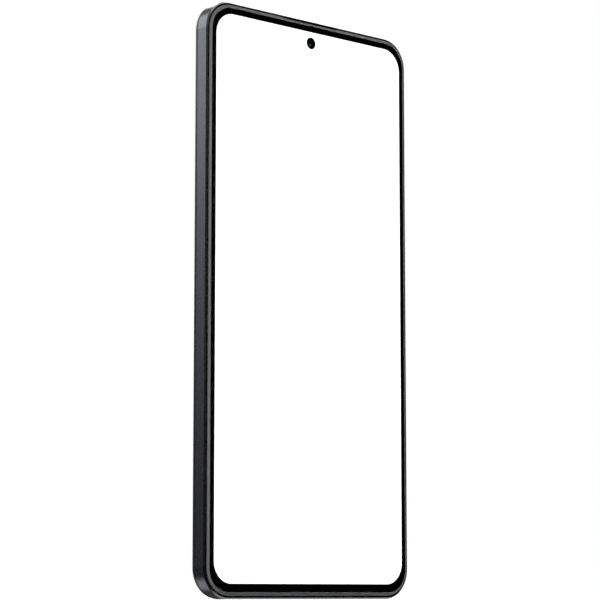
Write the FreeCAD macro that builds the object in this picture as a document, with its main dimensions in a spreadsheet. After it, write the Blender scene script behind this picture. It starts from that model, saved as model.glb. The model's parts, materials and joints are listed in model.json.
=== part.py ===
"""Smartphone, built as a FreeCAD document of separate sub-parts and written to parts/NODE.step.

Frame: +Z up along the phone's long edge, X to the right and -Y out of the screen.
The origin is the middle of the charging port's mouth, in the bottom edge.
A depth is counted from the front face towards the back cover.
"""

import FreeCAD, Part
import math
import os

import Sketcher
from FreeCAD import Placement, Rotation, Vector

DIMENSIONS = {
    # Overall body, without the camera plate and the buttons.
    "body_width": 75.4,
    "body_height": 162.0,
    "body_depth": 7.9,
    "corner_radius": 8.3,
    # Side frame section: a lip in front, a chamfer, a flat side and a small edge break at the back.
    "frame_wall": 1.9,
    "lip_drop": 0.8,
    "lip_width": 0.35,
    "chamfer_width": 0.35,
    "chamfer_drop": 0.45,
    "side_width": 3.7,
    "edge_break": 0.15,
    # Back cover: a flat back that rolls down to the frame.
    "cover_wall": 0.8,
    "cover_roll": 5.5,
    "roll_radius": 1.45,
    "cover_bond": 0.12,
    # Display stack.
    "glass_thickness": 0.6,
    "glass_edge": 0.4,
    "panel_thickness": 0.45,
    "foil_thickness": 0.15,
    "display_gap": 0.1,
    "display_bond": 0.1,
    "rim_width": 0.7,
    "rim_gap": 0.2,
    "rim_drop": 0.5,
    "rim_round": 0.3,
    "rim_foot": 0.75,
    "top_border": 3.5,
    "chin_border": 4.1,
    "side_border": 2.95,
    "panel_border": 0.4,
    "panel_corner": 6.0,
    "selfie_hole": 3.4,
    "selfie_drop": 6.7,
    "earpiece_slit": 20.5,
    "earpiece_notch": 0.28,
    # Inner deck and the room kept round the pieces on it.
    "deck_thickness": 0.6,
    "clearance": 0.1,
    "top_zone": 43.0,
    "bottom_zone": 31.0,
    "key_lane": 4.4,
    "cable_lane": 1.6,
    "board_thickness": 0.8,
    "board_standoff": 1.5,
    "board_corner": 4.5,
    "cable_thickness": 0.8,
    "board_cover_wall": 0.7,
    "flex_thickness": 0.15,
    "battery_swell": 0.55,
    "battery_corner": 1.0,
    "sub_board_thickness": 0.6,
    "cover_room": 0.6,
    "zone_gap": 1.0,
    "board_side_gap": 1.2,
    "battery_low_gap": 1.5,
    "battery_high_gap": 1.4,
    "front_module": 5.2,
    "front_module_height": 2.6,
    # Fingerprint sensor and the display's cable, which comes through the deck at one height.
    "sensor_width": 7.2,
    "sensor_height": 6.2,
    "sensor_drop": 3.8,
    "sensor_view": 5.2,
    "flex_offset": 8.5,
    "flex_width": 8.6,
    "flex_height": 17.4,
    "flex_foot": 2.4,
    # Holes for sound in the top and bottom edges, and what sits behind them.
    "microphone_hole": 1.0,
    "microphone_size": 3.0,
    "microphone_offset": 10.4,
    "top_microphone_share": 0.62,
    "speaker_hole": 1.5,
    "speaker_pitch": 2.6,
    "speaker_start": 16.0,
    "speaker_left": 14.0,
    # Buttons.
    "button_proud": 0.45,
    "button_width": 2.1,
    "button_fit": 0.1,
    "flange_thickness": 0.4,
    "flange_margin": 0.5,
    "flange_gap": 0.3,
    "power_length": 11.0,
    "power_drop": 66.0,
    "power_nub": 0.3,
    "volume_length": 21.0,
    "volume_drop": 42.0,
    "volume_nub": 0.4,
    "button_travel": 0.25,
    "dome_gap": 0.05,
    "dome_thickness": 0.25,
    # Charging port, in the middle of the bottom edge.
    "port_width": 8.64,
    "port_height": 2.86,
    "port_shell": 0.2,
    "port_length": 7.4,
    "tongue_width": 6.2,
    "tongue_thickness": 0.7,
    # Card tray, its reader and the ejector beside it.
    "tray_offset": 22.0,
    "tray_width": 10.4,
    "tray_thickness": 1.6,
    "tray_length": 16.0,
    "tray_cap": 1.2,
    "tray_cap_width": 14.2,
    "tray_cap_height": 2.3,
    "tray_fit": 0.1,
    "reader_wall": 0.3,
    "pin_hole": 1.0,
    "seal_groove": 0.25,
    "seal_width": 0.5,
    "lever_thickness": 0.8,
    "lever_height": 1.2,
    "lever_arm": 5.0,
    "lever_tip": 4.2,
    # Cameras on the back.
    "camera_plate_corner": 7.5,
    "camera_plate_rise": 1.2,
    "camera_inset": 6.3,
    "ring_rise": 1.0,
    "ring_margin": 1.3,
    "small_ring_margin": 2.4,
    "ring_spacing": 1.8,
    "ring_drop": 3.9,
    "big_ring": 14.0,
    "small_ring": 9.0,
    "ring_band": 1.8,
    "ring_step": 1.1,
    "window_drop": 0.65,
    "window_thickness": 0.5,
    "wide_reduction": 6.2,
    "macro_reduction": 5.4,
    "main_module": 11.6,
    "wide_module": 10.4,
    "macro_module": 6.6,
    "flash_size": 6.0,
    "focus_travel": 0.3,
    # Screws.
    "screw_thread": 1.2,
    "screw_head": 2.4,
    "screw_head_height": 0.4,
    "screw_inset": 2.2,
    "lower_screw": 10.6,
    "boss_wall": 1.0,
    "thread_fit": 0.02,
    "screw_end_gap": 0.3,
    # Shields and chips on the main board.
    "shield_margin": 4.6,
    "shield_wall": 0.15,
    "shield_height": 1.4,
    "shield_gap": 0.25,
    # Buzzer.
    "haptic_left": 1.2,
    "haptic_width": 12.4,
    "haptic_low": 12.4,
    "haptic_length": 10.6,
    "haptic_skin": 0.25,
    "haptic_travel": 0.5,
    "haptic_leaf": 0.4,
}

# How far a cut starts or ends outside the solid that it cuts.
PAST = 1.0
# Two places nearer than this are the same.
CLOSE = 1e-4
SPEAKER_HOLES = 6
# A screw in the board's round corner sits this many times as far in as the others.
CORNER_SCREW = 1.5


class Size:
    """A length as the sheet formula that gives it, with its value today for a sketch's first guess."""

    def __init__(self, text, value):
        self.text = text
        self.value = value

    def join(self, other, sign, value):
        return Size(f"({self.text} {sign} {size(other).text})", value)

    def __add__(self, other):
        return self.join(other, "+", self.value + size(other).value)

    def __sub__(self, other):
        return self.join(other, "-", self.value - size(other).value)

    def __mul__(self, other):
        return self.join(other, "*", self.value * size(other).value)

    def __truediv__(self, other):
        return self.join(other, "/", self.value / size(other).value)

    def __radd__(self, other):
        return size(other) + self

    def __rsub__(self, other):
        return size(other) - self

    def __rmul__(self, other):
        return size(other) * self

    def __neg__(self):
        return Size(f"(0 - {self.text})", -self.value)


def size(number):
    """A plain number as a Size."""
    return number if isinstance(number, Size) else Size(f"{float(number):.6f}", float(number))


doc = FreeCAD.newDocument("smartphone")
sheet = doc.addObject("Spreadsheet::Sheet", "dims")
for row, (alias, value) in enumerate(DIMENSIONS.items(), start=1):
    sheet.set(f"A{row}", alias)
    sheet.set(f"B{row}", str(value))
    sheet.setAlias(f"B{row}", alias)
doc.recompute()
D = {alias: Size(f"dims.{alias}", value) for alias, value in DIMENSIONS.items()}
nodes = []


# ---------------------------------------------------------------- shared places

width, height, depth = D["body_width"], D["body_height"], D["body_depth"]
side = width / 2
wall = D["frame_wall"]
inner_side = side - wall
inner_top = height - wall
gap = D["clearance"]

lip_depth = D["lip_drop"]
flat_start = D["lip_drop"] + D["chamfer_drop"]
frame_back = flat_start + D["side_width"]
edge_middle = (flat_start + frame_back) / 2
cover_front = frame_back + D["cover_bond"]
cover_inside = depth - D["cover_wall"]

glass_back = D["glass_thickness"]
panel_back = glass_back + D["panel_thickness"]
foil_back = panel_back + D["foil_thickness"]
shelf = foil_back + D["display_gap"]
deck_back = shelf + D["deck_thickness"]

lip_inside = D["chamfer_width"] + D["lip_width"]
rim_outside = lip_inside + D["rim_gap"]
rim_inside = rim_outside + D["rim_width"]

board_front = deck_back + D["board_standoff"]
board_back = board_front + D["board_thickness"]
sub_front = edge_middle + D["port_height"] / 2 + gap / 2
sub_back = sub_front + D["sub_board_thickness"]
board_cover_back = depth - D["cover_wall"] - D["cover_room"]
board_cover_front = board_cover_back - D["board_cover_wall"]
board_bottom = height - D["top_zone"] + D["zone_gap"]
board_left = -inner_side + D["board_side_gap"]

battery_front = deck_back + gap
battery_back = cover_inside - D["battery_swell"]
battery_bottom = D["bottom_zone"] + D["battery_low_gap"]
battery_top = height - D["top_zone"] - D["battery_high_gap"]
battery_left = -inner_side + D["cable_lane"]
battery_right = inner_side - D["key_lane"]

selfie_height = height - D["selfie_drop"]
sensor_place = D["bottom_zone"] - D["sensor_drop"]
camera_right = side - D["camera_inset"]
camera_left = camera_right - D["ring_margin"] - D["big_ring"] - D["ring_spacing"] - D["small_ring"]
camera_left = camera_left - D["small_ring_margin"]
camera_top = height - D["camera_inset"]
camera_bottom = camera_top - 2 * D["ring_margin"] - 2 * D["big_ring"] - D["ring_drop"]
camera_face = depth + D["camera_plate_rise"]
ring_face = camera_face + D["ring_rise"]
ring_inset = D["big_ring"] / 2 + D["ring_margin"]
small_inset = D["small_ring"] / 2 + D["small_ring_margin"]
board_right = camera_left - gap
board_top = inner_top - D["board_side_gap"]
main_lens = (camera_right - ring_inset, camera_top - ring_inset)
wide_lens = (camera_right - ring_inset, camera_bottom + ring_inset)
macro_lens = (camera_left + small_inset, camera_top - ring_inset)
flash_place = (camera_left + small_inset, camera_bottom + ring_inset)

tray_middle = -D["tray_offset"]
tray_front = edge_middle - D["tray_thickness"] / 2
tray_back = edge_middle + D["tray_thickness"] / 2
cap_inside = D["tray_cap"]
eject_x = tray_middle + D["tray_width"] / 2 + D["tray_fit"] + D["reader_wall"] + gap + D["pin_hole"] / 2


def at(y):
    """The Y of a depth from the front face."""
    return size(y) - edge_middle


# ---------------------------------------------------------------- building blocks


def keep(shape_object, label):
    """Names a finished sub-part, which gives its file and node their name."""
    shape_object.Label = label
    nodes.append(shape_object)
    return shape_object


def bind(owner, **properties):
    """Ties properties to formulas. A double underscore stands for a dot."""
    for name, length in properties.items():
        owner.setExpression(name.replace("__", "."), size(length).text)
    return owner


def box(x, y, z, name="block"):
    """A box from (low, high) along each axis, where y is a pair of depths."""
    solid = doc.addObject("Part::Box", name)
    return bind(
        solid,
        Length=x[1] - x[0],
        Width=y[1] - y[0],
        Height=z[1] - z[0],
        Placement__Base__x=x[0],
        Placement__Base__y=at(y[0]),
        Placement__Base__z=z[0],
    )


def pair(low, high):
    return size(low), size(high)


def about(middle, span):
    """A (low, high) pair of that span round its middle."""
    return size(middle) - size(span) / 2, size(middle) + size(span) / 2


TURNS = {
    "x": Rotation(Vector(0, 1, 0), 90),
    "y": Rotation(Vector(1, 0, 0), -90),
    "z": Rotation(),
}


def rod(axis, start, radius, length, name="round"):
    """A cylinder from its start point (x, depth, z) along an axis."""
    solid = doc.addObject("Part::Cylinder", name)
    solid.Placement = Placement(Vector(), TURNS[axis])
    return bind(
        solid,
        Radius=radius,
        Height=length,
        Placement__Base__x=start[0],
        Placement__Base__y=at(start[1]),
        Placement__Base__z=start[2],
    )


def group(parts, name="group"):
    """Several solids as one object."""
    if len(parts) == 1:
        return parts[0]
    fuse = doc.addObject("Part::MultiFuse", name)
    fuse.Shapes = parts
    return fuse


def cut(base, *tools):
    """The base without its tools."""
    result = doc.addObject("Part::Cut", "cut")
    result.Base = base
    result.Tool = group(list(tools), "tools")
    return result


def new_body(name):
    return doc.addObject("PartDesign::Body", name)


def sketch_on(body, plane, offset, name):
    """A sketch on one of the body's origin planes, moved along the plane's normal."""
    sketch = body.newObject("Sketcher::SketchObject", name)
    origin = next(f for f in body.Origin.OriginFeatures if f.Role == plane)
    sketch.AttachmentSupport = [(origin, "")]
    sketch.MapMode = "FlatFace"
    return bind(sketch, AttachmentOffset__Base__z=offset)


def fix(sketch, kind, *where, length):
    """A driving constraint bound to its formula."""
    number = sketch.addConstraint(Sketcher.Constraint(kind, *where, length.value))
    sketch.setExpression(f"Constraints[{number}]", length.text)


def arc_between(start, end, radius, turn):
    """The circle centre of the short arc from start to end: turn is 1 anticlockwise and -1 clockwise."""
    chord = end - start
    rise = math.sqrt(max(radius**2 - (chord.Length / 2) ** 2, 0.0))
    normal = Vector(-chord.y, chord.x, 0).normalize()
    return (start + end) * 0.5 + normal * rise * turn


def trace(sketch, start, steps):
    """A closed outline whose last step ends at the start.

    Steps are ("line", x, y), ("arc", x, y, radius, turn) or ("bend", x, y).
    A bend is an arc that goes on tangent to the line before it.
    """
    first = sketch.GeometryCount
    corner = Vector(start[0].value, start[1].value, 0)
    heading = None
    ends = []
    for number, step in enumerate(steps):
        x, y = size(step[1]), size(step[2])
        target = Vector(x.value, y.value, 0)
        if step[0] == "line":
            sketch.addGeometry(Part.LineSegment(corner, target), False)
            heading = (target - corner).normalize()
            begin, finish = 1, 2
        else:
            if step[0] == "arc":
                turn = step[4]
                centre = arc_between(corner, target, size(step[3]).value, turn)
            else:
                normal = Vector(-heading.y, heading.x, 0)
                chord = target - corner
                reach = chord.Length**2 / (2 * normal.dot(chord))
                turn = 1 if reach > 0 else -1
                centre = corner + normal * reach
            low, high = (corner, target) if turn > 0 else (target, corner)
            angles = [math.atan2(p.y - centre.y, p.x - centre.x) for p in (low, high)]
            circle = Part.Circle(centre, Vector(0, 0, 1), (corner - centre).Length)
            sketch.addGeometry(Part.ArcOfCircle(circle, *angles), False)
            begin, finish = (1, 2) if turn > 0 else (2, 1)
        ends.append((first + number, begin, finish))
        corner = target
    for number, step in enumerate(steps):
        edge, begin, finish = ends[number]
        before, _, before_finish = ends[number - 1]
        kind = "Tangent" if step[0] == "bend" else "Coincident"
        sketch.addConstraint(Sketcher.Constraint(kind, before, before_finish, edge, begin))
        x, y = (size(step[1]), size(step[2]))
        fix(sketch, "DistanceX", edge, finish, length=x)
        fix(sketch, "DistanceY", edge, finish, length=y)
        if step[0] == "arc":
            fix(sketch, "Radius", edge, length=size(step[3]))
    return sketch


def circle(sketch, x, y, radius):
    centre = Vector(size(x).value, size(y).value, 0)
    edge = sketch.addGeometry(Part.Circle(centre, Vector(0, 0, 1), size(radius).value), False)
    fix(sketch, "DistanceX", edge, 3, length=size(x))
    fix(sketch, "DistanceY", edge, 3, length=size(y))
    fix(sketch, "Radius", edge, length=size(radius))
    return sketch


def rounded(sketch, x, y, radius):
    """A rounded rectangle from (low, high) pairs. Four radii go round from the lower left corner."""
    radii = radius if isinstance(radius, tuple) else (radius,) * 4
    a, b, c, d = (size(r) for r in radii)
    return trace(
        sketch,
        (x[0] + a, y[0]),
        [
            ("line", x[1] - b, y[0]),
            ("arc", x[1], y[0] + b, b, 1),
            ("line", x[1], y[1] - c),
            ("arc", x[1] - c, y[1], c, 1),
            ("line", x[0] + d, y[1]),
            ("arc", x[0], y[1] - d, d, 1),
            ("line", x[0], y[0] + a),
            ("arc", x[0] + a, y[0], a, 1),
        ],
    )


def rounded_slot(sketch, x, y):
    """A slot with half-round ends across its shorter side, from (low, high) pairs."""
    along_x = x[1].value - x[0].value > y[1].value - y[0].value
    if along_x:
        r = (y[1] - y[0]) / 2
        steps = [
            ("line", x[1] - r, y[0]),
            ("bend", x[1] - r, y[1]),
            ("line", x[0] + r, y[1]),
            ("bend", x[0] + r, y[0]),
        ]
        return trace(sketch, (x[0] + r, y[0]), steps)
    r = (x[1] - x[0]) / 2
    steps = [
        ("line", x[1], y[1] - r),
        ("bend", x[0], y[1] - r),
        ("line", x[0], y[0] + r),
        ("bend", x[1], y[0] + r),
    ]
    return trace(sketch, (x[1], y[0] + r), steps)


def polygon(sketch, points):
    """A closed outline of straight lines."""
    return trace(sketch, tuple(size(v) for v in points[-1]), [("line", *p) for p in points])


def pad(body, sketch, length):
    """Material from the sketch towards the back of a face sketch, and up or right from any other."""
    feature = body.newObject("PartDesign::Pad", "pad")
    feature.Profile = sketch
    feature.Reversed = sketch.AttachmentSupport[0][0].Role == "XZ_Plane"
    bind(feature, Length=length)
    body.Tip = feature
    return feature


def pocket(body, sketch, length, inward=False):
    """A cut from the sketch that runs the way a pad would, or the other way where it goes inward."""
    feature = body.newObject("PartDesign::Pocket", "pocket")
    feature.Profile = sketch
    feature.Reversed = not inward and sketch.AttachmentSupport[0][0].Role != "XZ_Plane"
    bind(feature, Length=length)
    body.Tip = feature
    return feature


def revolve(body, sketch, place):
    """A full turn about the line through (x, z) along Y. The sketch lies in the XY plane at that height."""
    feature = body.newObject("PartDesign::Revolution", "turn")
    feature.Profile = sketch
    feature.ReferenceAxis = (sketch, ["V_Axis"])
    feature.Angle = 360
    body.Tip = feature
    return bind(sketch, AttachmentOffset__Base__x=place[0], AttachmentOffset__Base__z=place[1])


def dress(body, kind, length, wanted):
    """A fillet or chamfer on the edges for which wanted(edge) is true."""
    doc.recompute()
    base = body.Tip
    edges = [f"Edge{n}" for n, e in enumerate(base.Shape.Edges, start=1) if wanted(e)]
    feature = body.newObject(f"PartDesign::{kind}", kind.lower())
    feature.Base = (base, edges)
    bind(feature, **{"Radius" if kind == "Fillet" else "Size": length})
    body.Tip = feature
    return feature


def at_depth(y):
    """True for an edge that lies all over at that depth."""
    place = at(y).value
    return lambda edge: max(abs(edge.BoundBox.YMin - place), abs(edge.BoundBox.YMax - place)) < CLOSE


def ring(name, section):
    """A closed ring of one section, swept round the body's outline.

    Section points are (inset, depth) from the outer side, as steps of trace with the start last.
    """
    body = new_body(name)
    spine = sketch_on(body, "XZ_Plane", 0, "outline")
    r = D["corner_radius"]
    trace(
        spine,
        (-side, height / 2),
        [
            ("line", -side, r),
            ("arc", -side + r, 0, r, 1),
            ("line", side - r, 0),
            ("arc", side, r, r, 1),
            ("line", side, height - r),
            ("arc", side - r, height, r, 1),
            ("line", -side + r, height),
            ("arc", -side, height - r, r, 1),
            ("line", -side, height / 2),
        ],
    )
    profile = sketch_on(body, "XY_Plane", height / 2, "section")
    steps = [(s[0], size(s[1]) - side, at(s[2]), *s[3:]) for s in section]
    trace(profile, (steps[-1][1], steps[-1][2]), steps)
    pipe = body.newObject("PartDesign::AdditivePipe", "sweep")
    pipe.Profile = profile
    pipe.Spine = (spine, [""])
    body.Tip = pipe
    return body


def band(name, inset, depths):
    """A ring of rectangular section."""
    points = [
        (inset[0], depths[0]),
        (inset[0], depths[1]),
        (inset[1], depths[1]),
        (inset[1], depths[0]),
    ]
    return ring(name, [("line", *p) for p in points])


def plate(name, x, z, y, radius):
    """A flat plate with rounded corners between two depths."""
    body = new_body(name)
    sketch = sketch_on(body, "XZ_Plane", -at(y[0]), "outline")
    pad(body, rounded(sketch, x, z, radius), y[1] - y[0])
    return body


def face_sketch(body, y, name="face"):
    """A sketch at a depth, seen from the front."""
    return sketch_on(body, "XZ_Plane", -at(y), name)


def strip(name, x, points):
    """A bent flat strip: an outline of (depth, z) points, x wide."""
    body = new_body(name)
    sketch = sketch_on(body, "YZ_Plane", x[0], "profile")
    pad(body, polygon(sketch, [(at(y), size(z)) for y, z in points]), x[1] - x[0])
    return body


# ---------------------------------------------------------------- case


def make_side_frame():
    """The ring that shows as the phone's side, with its slots and holes."""
    section = [
        ("line", D["chamfer_width"], lip_depth),
        ("line", lip_inside, lip_depth),
        ("line", lip_inside, shelf),
        ("line", wall, shelf),
        ("line", wall, frame_back),
        ("line", D["edge_break"], frame_back),
        ("line", 0, frame_back - D["edge_break"]),
        ("line", 0, flat_start),
    ]
    body = ring("side_frame", section)
    through = wall + PAST
    fit = D["button_fit"]
    mouth = sketch_on(body, "XY_Plane", -PAST, "port_mouth")
    rounded_slot(mouth, about(0, D["port_width"]), about(at(edge_middle), D["port_height"]))
    pocket(body, mouth, through)
    slot = sketch_on(body, "XY_Plane", -PAST, "tray_slot")
    rounded_slot(
        slot,
        about(tray_middle, D["tray_cap_width"] + 2 * D["tray_fit"]),
        about(at(edge_middle), D["tray_cap_height"] + 2 * D["tray_fit"]),
    )
    pocket(body, slot, cap_inside + PAST)
    way = sketch_on(body, "XY_Plane", -PAST, "tray_way")
    way_x = pair(
        tray_middle - D["tray_width"] / 2 - D["tray_fit"],
        eject_x + D["pin_hole"] / 2 + gap,
    )
    way_y = about(at(edge_middle), D["tray_thickness"] + 2 * D["tray_fit"])
    polygon(
        way,
        [(way_x[1], way_y[0]), (way_x[1], way_y[1]), (way_x[0], way_y[1]), (way_x[0], way_y[0])],
    )
    pocket(body, way, through)
    sound = sketch_on(body, "XY_Plane", -PAST, "sound_holes")
    for place, across in sound_holes():
        circle(sound, place, at(edge_middle), across / 2)
    pocket(body, sound, through)
    top = sketch_on(body, "XY_Plane", height + PAST, "top_microphone_hole")
    circle(top, top_microphone_place(), at(edge_middle), D["microphone_hole"] / 2)
    pocket(body, top, through, inward=True)
    for name, length, drop, _ in buttons():
        hole = sketch_on(body, "YZ_Plane", side + PAST, f"{name}_slot")
        rounded_slot(
            hole,
            about(at(edge_middle), D["button_width"] + 2 * fit),
            about(height - drop, length + 2 * fit),
        )
        pocket(body, hole, through, inward=True)
    keep(body, "side_frame")


def sound_holes():
    """(x, diameter) of the round holes in the bottom edge: the microphone's, then the loudspeaker's."""
    holes = [(-D["microphone_offset"], D["microphone_hole"])]
    for number in range(SPEAKER_HOLES):
        holes.append((D["speaker_start"] + D["speaker_pitch"] * number, D["speaker_hole"]))
    return holes


def top_microphone_place():
    """The X of the microphone in the top edge."""
    return -inner_side * D["top_microphone_share"]


def buttons():
    """(name, length, drop from the top, nub length) of each side key."""
    return (
        ("power_button", D["power_length"], D["power_drop"], D["power_nub"]),
        ("volume_rocker", D["volume_length"], D["volume_drop"], D["volume_nub"]),
    )


def screw_places():
    """(x, z) of the main board's screws, then of the lower board's."""
    inset = D["screw_inset"]
    upper = [
        (board_left + inset, board_bottom + inset),
        (board_right - inset, board_bottom + inset),
        (board_left + inset * CORNER_SCREW, board_top - inset * CORNER_SCREW),
    ]
    lower = [
        (board_left + inset, D["bottom_zone"] - inset),
        (D["lower_screw"], D["bottom_zone"] - inset),
    ]
    return upper, lower


def make_deck():
    """The metal deck inside the frame, with a boss under every screw."""
    body = plate(
        "mid_plate",
        pair(-inner_side, inner_side),
        pair(wall, inner_top),
        pair(shelf, deck_back),
        D["corner_radius"] - wall,
    )
    upper, lower = screw_places()
    boss_radius = D["screw_thread"] / 2 + D["boss_wall"]
    for places, top in ((upper, board_front), (lower, sub_front)):
        bosses = face_sketch(body, deck_back, "bosses")
        for x, z in places:
            circle(bosses, x, z, boss_radius)
        pad(body, bosses, top - deck_back)
    holes = face_sketch(body, shelf, "holes")
    for x, z in upper + lower:
        circle(holes, x, z, D["screw_thread"] / 2 + D["thread_fit"])
    camera_room = 1.4
    circle(holes, 0, selfie_height, D["selfie_hole"] / 2 + camera_room)
    sensor_room, window_corner = 0.6, 0.5
    rounded(
        holes,
        about(0, D["sensor_width"] + sensor_room),
        about(sensor_place, D["sensor_height"] + sensor_room),
        window_corner,
    )
    flex_room, below, above = 1.2, 0.8, 1.0
    rounded(
        holes,
        about(-D["flex_offset"], D["flex_width"] + flex_room),
        (D["flex_height"] - below, D["flex_height"] + above),
        window_corner,
    )
    pocket(body, holes, sub_front)
    notch = face_sketch(body, shelf, "port_notch")
    beside_port, above_port = 0.6, 0.8
    half = D["port_width"] / 2 + D["port_shell"] + beside_port
    top = wall + D["port_length"] + above_port
    polygon(notch, [(half, 0), (half, top), (-half, top), (-half, 0)])
    pocket(body, notch, D["deck_thickness"])
    keep(body, "mid_plate")


def make_rear_cover():
    """A shell whose back rolls down to the frame in two arcs, open where the camera plate sits."""
    r1 = D["roll_radius"]
    roll, thick = D["cover_roll"], D["cover_wall"]
    straight = 0.05
    rise = depth - cover_front - straight
    start = depth - rise
    r2 = (roll * roll + rise * rise - roll * r1 * 2) / ((rise - r1) * 2)
    lean = (roll - r1) / (r2 - r1)
    drop = (r2 - rise) / (r2 - r1)
    section = [
        ("line", 0, start),
        ("arc", r1 - r1 * lean, start + r1 * drop, r1, -1),
        ("arc", roll, depth, r2, -1),
        ("line", roll, cover_inside),
        ("arc", r1 - (r1 - thick) * lean, start + (r1 - thick) * drop, r2 - thick, 1),
        ("arc", thick, start, r1 - thick, 1),
        ("line", thick, cover_front),
        ("line", 0, cover_front),
    ]
    body = ring("rear_cover", section)
    flat = face_sketch(body, cover_inside, "flat_back")
    corner = D["corner_radius"] - roll
    rounded(flat, pair(roll - side, side - roll), pair(roll, height - roll), corner)
    pad(body, flat, thick)
    window = face_sketch(body, cover_inside - PAST, "camera_window")
    fit = 0.05
    rounded(
        window,
        (camera_left - fit, camera_right + fit),
        (camera_bottom - fit, camera_top + fit),
        D["camera_plate_corner"] + fit,
    )
    pocket(body, window, thick + 2 * PAST)
    keep(body, "rear_cover")
    tape_outer, tape_inner = 0.3, 0.75
    tape = band("cover_adhesive", pair(tape_outer, tape_inner), pair(frame_back, cover_front))
    keep(tape, "cover_adhesive")


def make_display():
    """Cover glass, the rim round it, the lit panel and what backs and bonds them."""
    corner = D["corner_radius"]

    def inset_plate(name, inset, y, radius=None):
        x, z = pair(inset - side, side - inset), pair(inset, height - inset)
        return plate(name, x, z, y, corner - inset if radius is None else radius)

    glass = inset_plate("cover_glass", rim_inside, pair(0, glass_back))
    dress(glass, "Fillet", D["glass_edge"], at_depth(0))
    keep(glass, "cover_glass")

    foot = rim_inside + D["rim_foot"]
    round_off = D["rim_round"]
    section = [
        ("line", rim_outside, D["rim_drop"] + round_off),
        ("arc", rim_outside + round_off, D["rim_drop"], round_off, 1),
        ("line", rim_inside, D["rim_drop"]),
        ("line", rim_inside, glass_back),
        ("line", foot, glass_back),
        ("line", foot, shelf - D["display_bond"]),
        ("line", rim_outside, shelf - D["display_bond"]),
    ]
    rim = ring("display_rim", section)
    notch = sketch_on(rim, "XY_Plane", height - rim_outside + PAST, "earpiece_notch")
    half = D["earpiece_slit"] / 2
    notch_front, notch_back = at(-PAST), at(shelf)
    polygon(notch, [(half, notch_front), (half, notch_back), (-half, notch_back), (-half, notch_front)])
    pocket(rim, notch, D["earpiece_notch"] + PAST, inward=True)
    keep(rim, "display_rim")

    side_gap, mesh_drop, mesh_thickness, seam_share = 0.4, 0.35, 0.15, 0.9
    mesh_front = D["rim_drop"] + mesh_drop
    mesh_top = height - rim_outside
    mesh = box(
        about(0, D["earpiece_slit"] - side_gap),
        pair(mesh_front, mesh_front + mesh_thickness),
        pair(mesh_top - D["earpiece_notch"], mesh_top + D["rim_gap"] * seam_share),
    )
    keep(mesh, "earpiece_mesh")

    bond_outer, bond_inner = rim_outside + 0.1, wall - 0.05
    bond_depths = pair(shelf - D["display_bond"], shelf)
    keep(band("display_adhesive", pair(bond_outer, bond_inner), bond_depths), "display_adhesive")

    active_side = side - D["side_border"]
    panel_x = pair(-active_side - D["panel_border"], active_side + D["panel_border"])
    panel_z = pair(
        D["chin_border"] - D["panel_border"],
        height - D["top_border"] + D["panel_border"],
    )
    foil_ring = 0.6
    for name, y, hole in (
        ("display_panel", pair(glass_back, panel_back), D["selfie_hole"] / 2),
        ("display_foil", pair(panel_back, foil_back), D["selfie_hole"] / 2 + foil_ring),
    ):
        body = plate(name, panel_x, panel_z, y, D["panel_corner"])
        opening = face_sketch(body, y[0], "camera_opening")
        circle(opening, 0, selfie_height, hole)
        pocket(body, opening, y[1] - y[0])
        if name == "display_foil":
            flex_room, below, above, opening_corner = 1.6, 1.0, 1.4, 0.5
            lower = face_sketch(body, y[0], "flex_opening")
            rounded(
                lower,
                about(-D["flex_offset"], D["flex_width"] + flex_room),
                (D["chin_border"] + below, D["flex_height"] + above),
                opening_corner,
            )
            circle(lower, 0, sensor_place, D["sensor_view"] / 2)
            pocket(body, lower, y[1] - y[0])
        keep(body, name)

    thin = D["flex_thickness"]
    start = D["chin_border"] + 1.4
    bend = D["flex_height"]
    foot_front = sub_front - 0.6
    foot_low = bend - D["flex_foot"]
    flex_points = [
        (panel_back, start),
        (panel_back + thin, start),
        (panel_back + thin, bend),
        (foot_front, bend),
        (foot_front, foot_low),
        (sub_front, foot_low),
        (sub_front, bend + thin),
        (panel_back, bend + thin),
    ]
    keep(strip("display_flex", about(-D["flex_offset"], D["flex_width"]), flex_points), "display_flex")
    sensor_z = about(sensor_place, D["sensor_height"])
    keep(box(about(0, D["sensor_width"]), pair(foil_back, deck_back), sensor_z), "fingerprint_sensor")


def make_camera(name, place, module, y_top, barrel, y_barrel):
    """A camera block on the deck, with its fixed barrel standing towards the back window."""
    block = box(
        about(place[0], module),
        pair(deck_back, y_top),
        about(place[1], module),
    )
    tube = rod("y", (place[0], y_top, place[1]), barrel / 2, y_barrel - y_top)
    return keep(group([block, tube]), name)


def make_front_camera():
    """The small camera behind the hole in the display: a block on the deck with a neck through it."""
    module = D["front_module"]
    block_y = pair(deck_back, deck_back + D["front_module_height"])
    block = box(about(0, module), block_y, about(selfie_height, module))
    behind_glass, round_neck = 0.15, 0.35
    neck_front = glass_back + behind_glass
    neck_radius = D["selfie_hole"] / 2 - round_neck
    neck = rod("y", (0, neck_front, selfie_height), neck_radius, deck_back - neck_front)
    keep(group([block, neck]), "front_camera")


# ---------------------------------------------------------------- buttons


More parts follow.
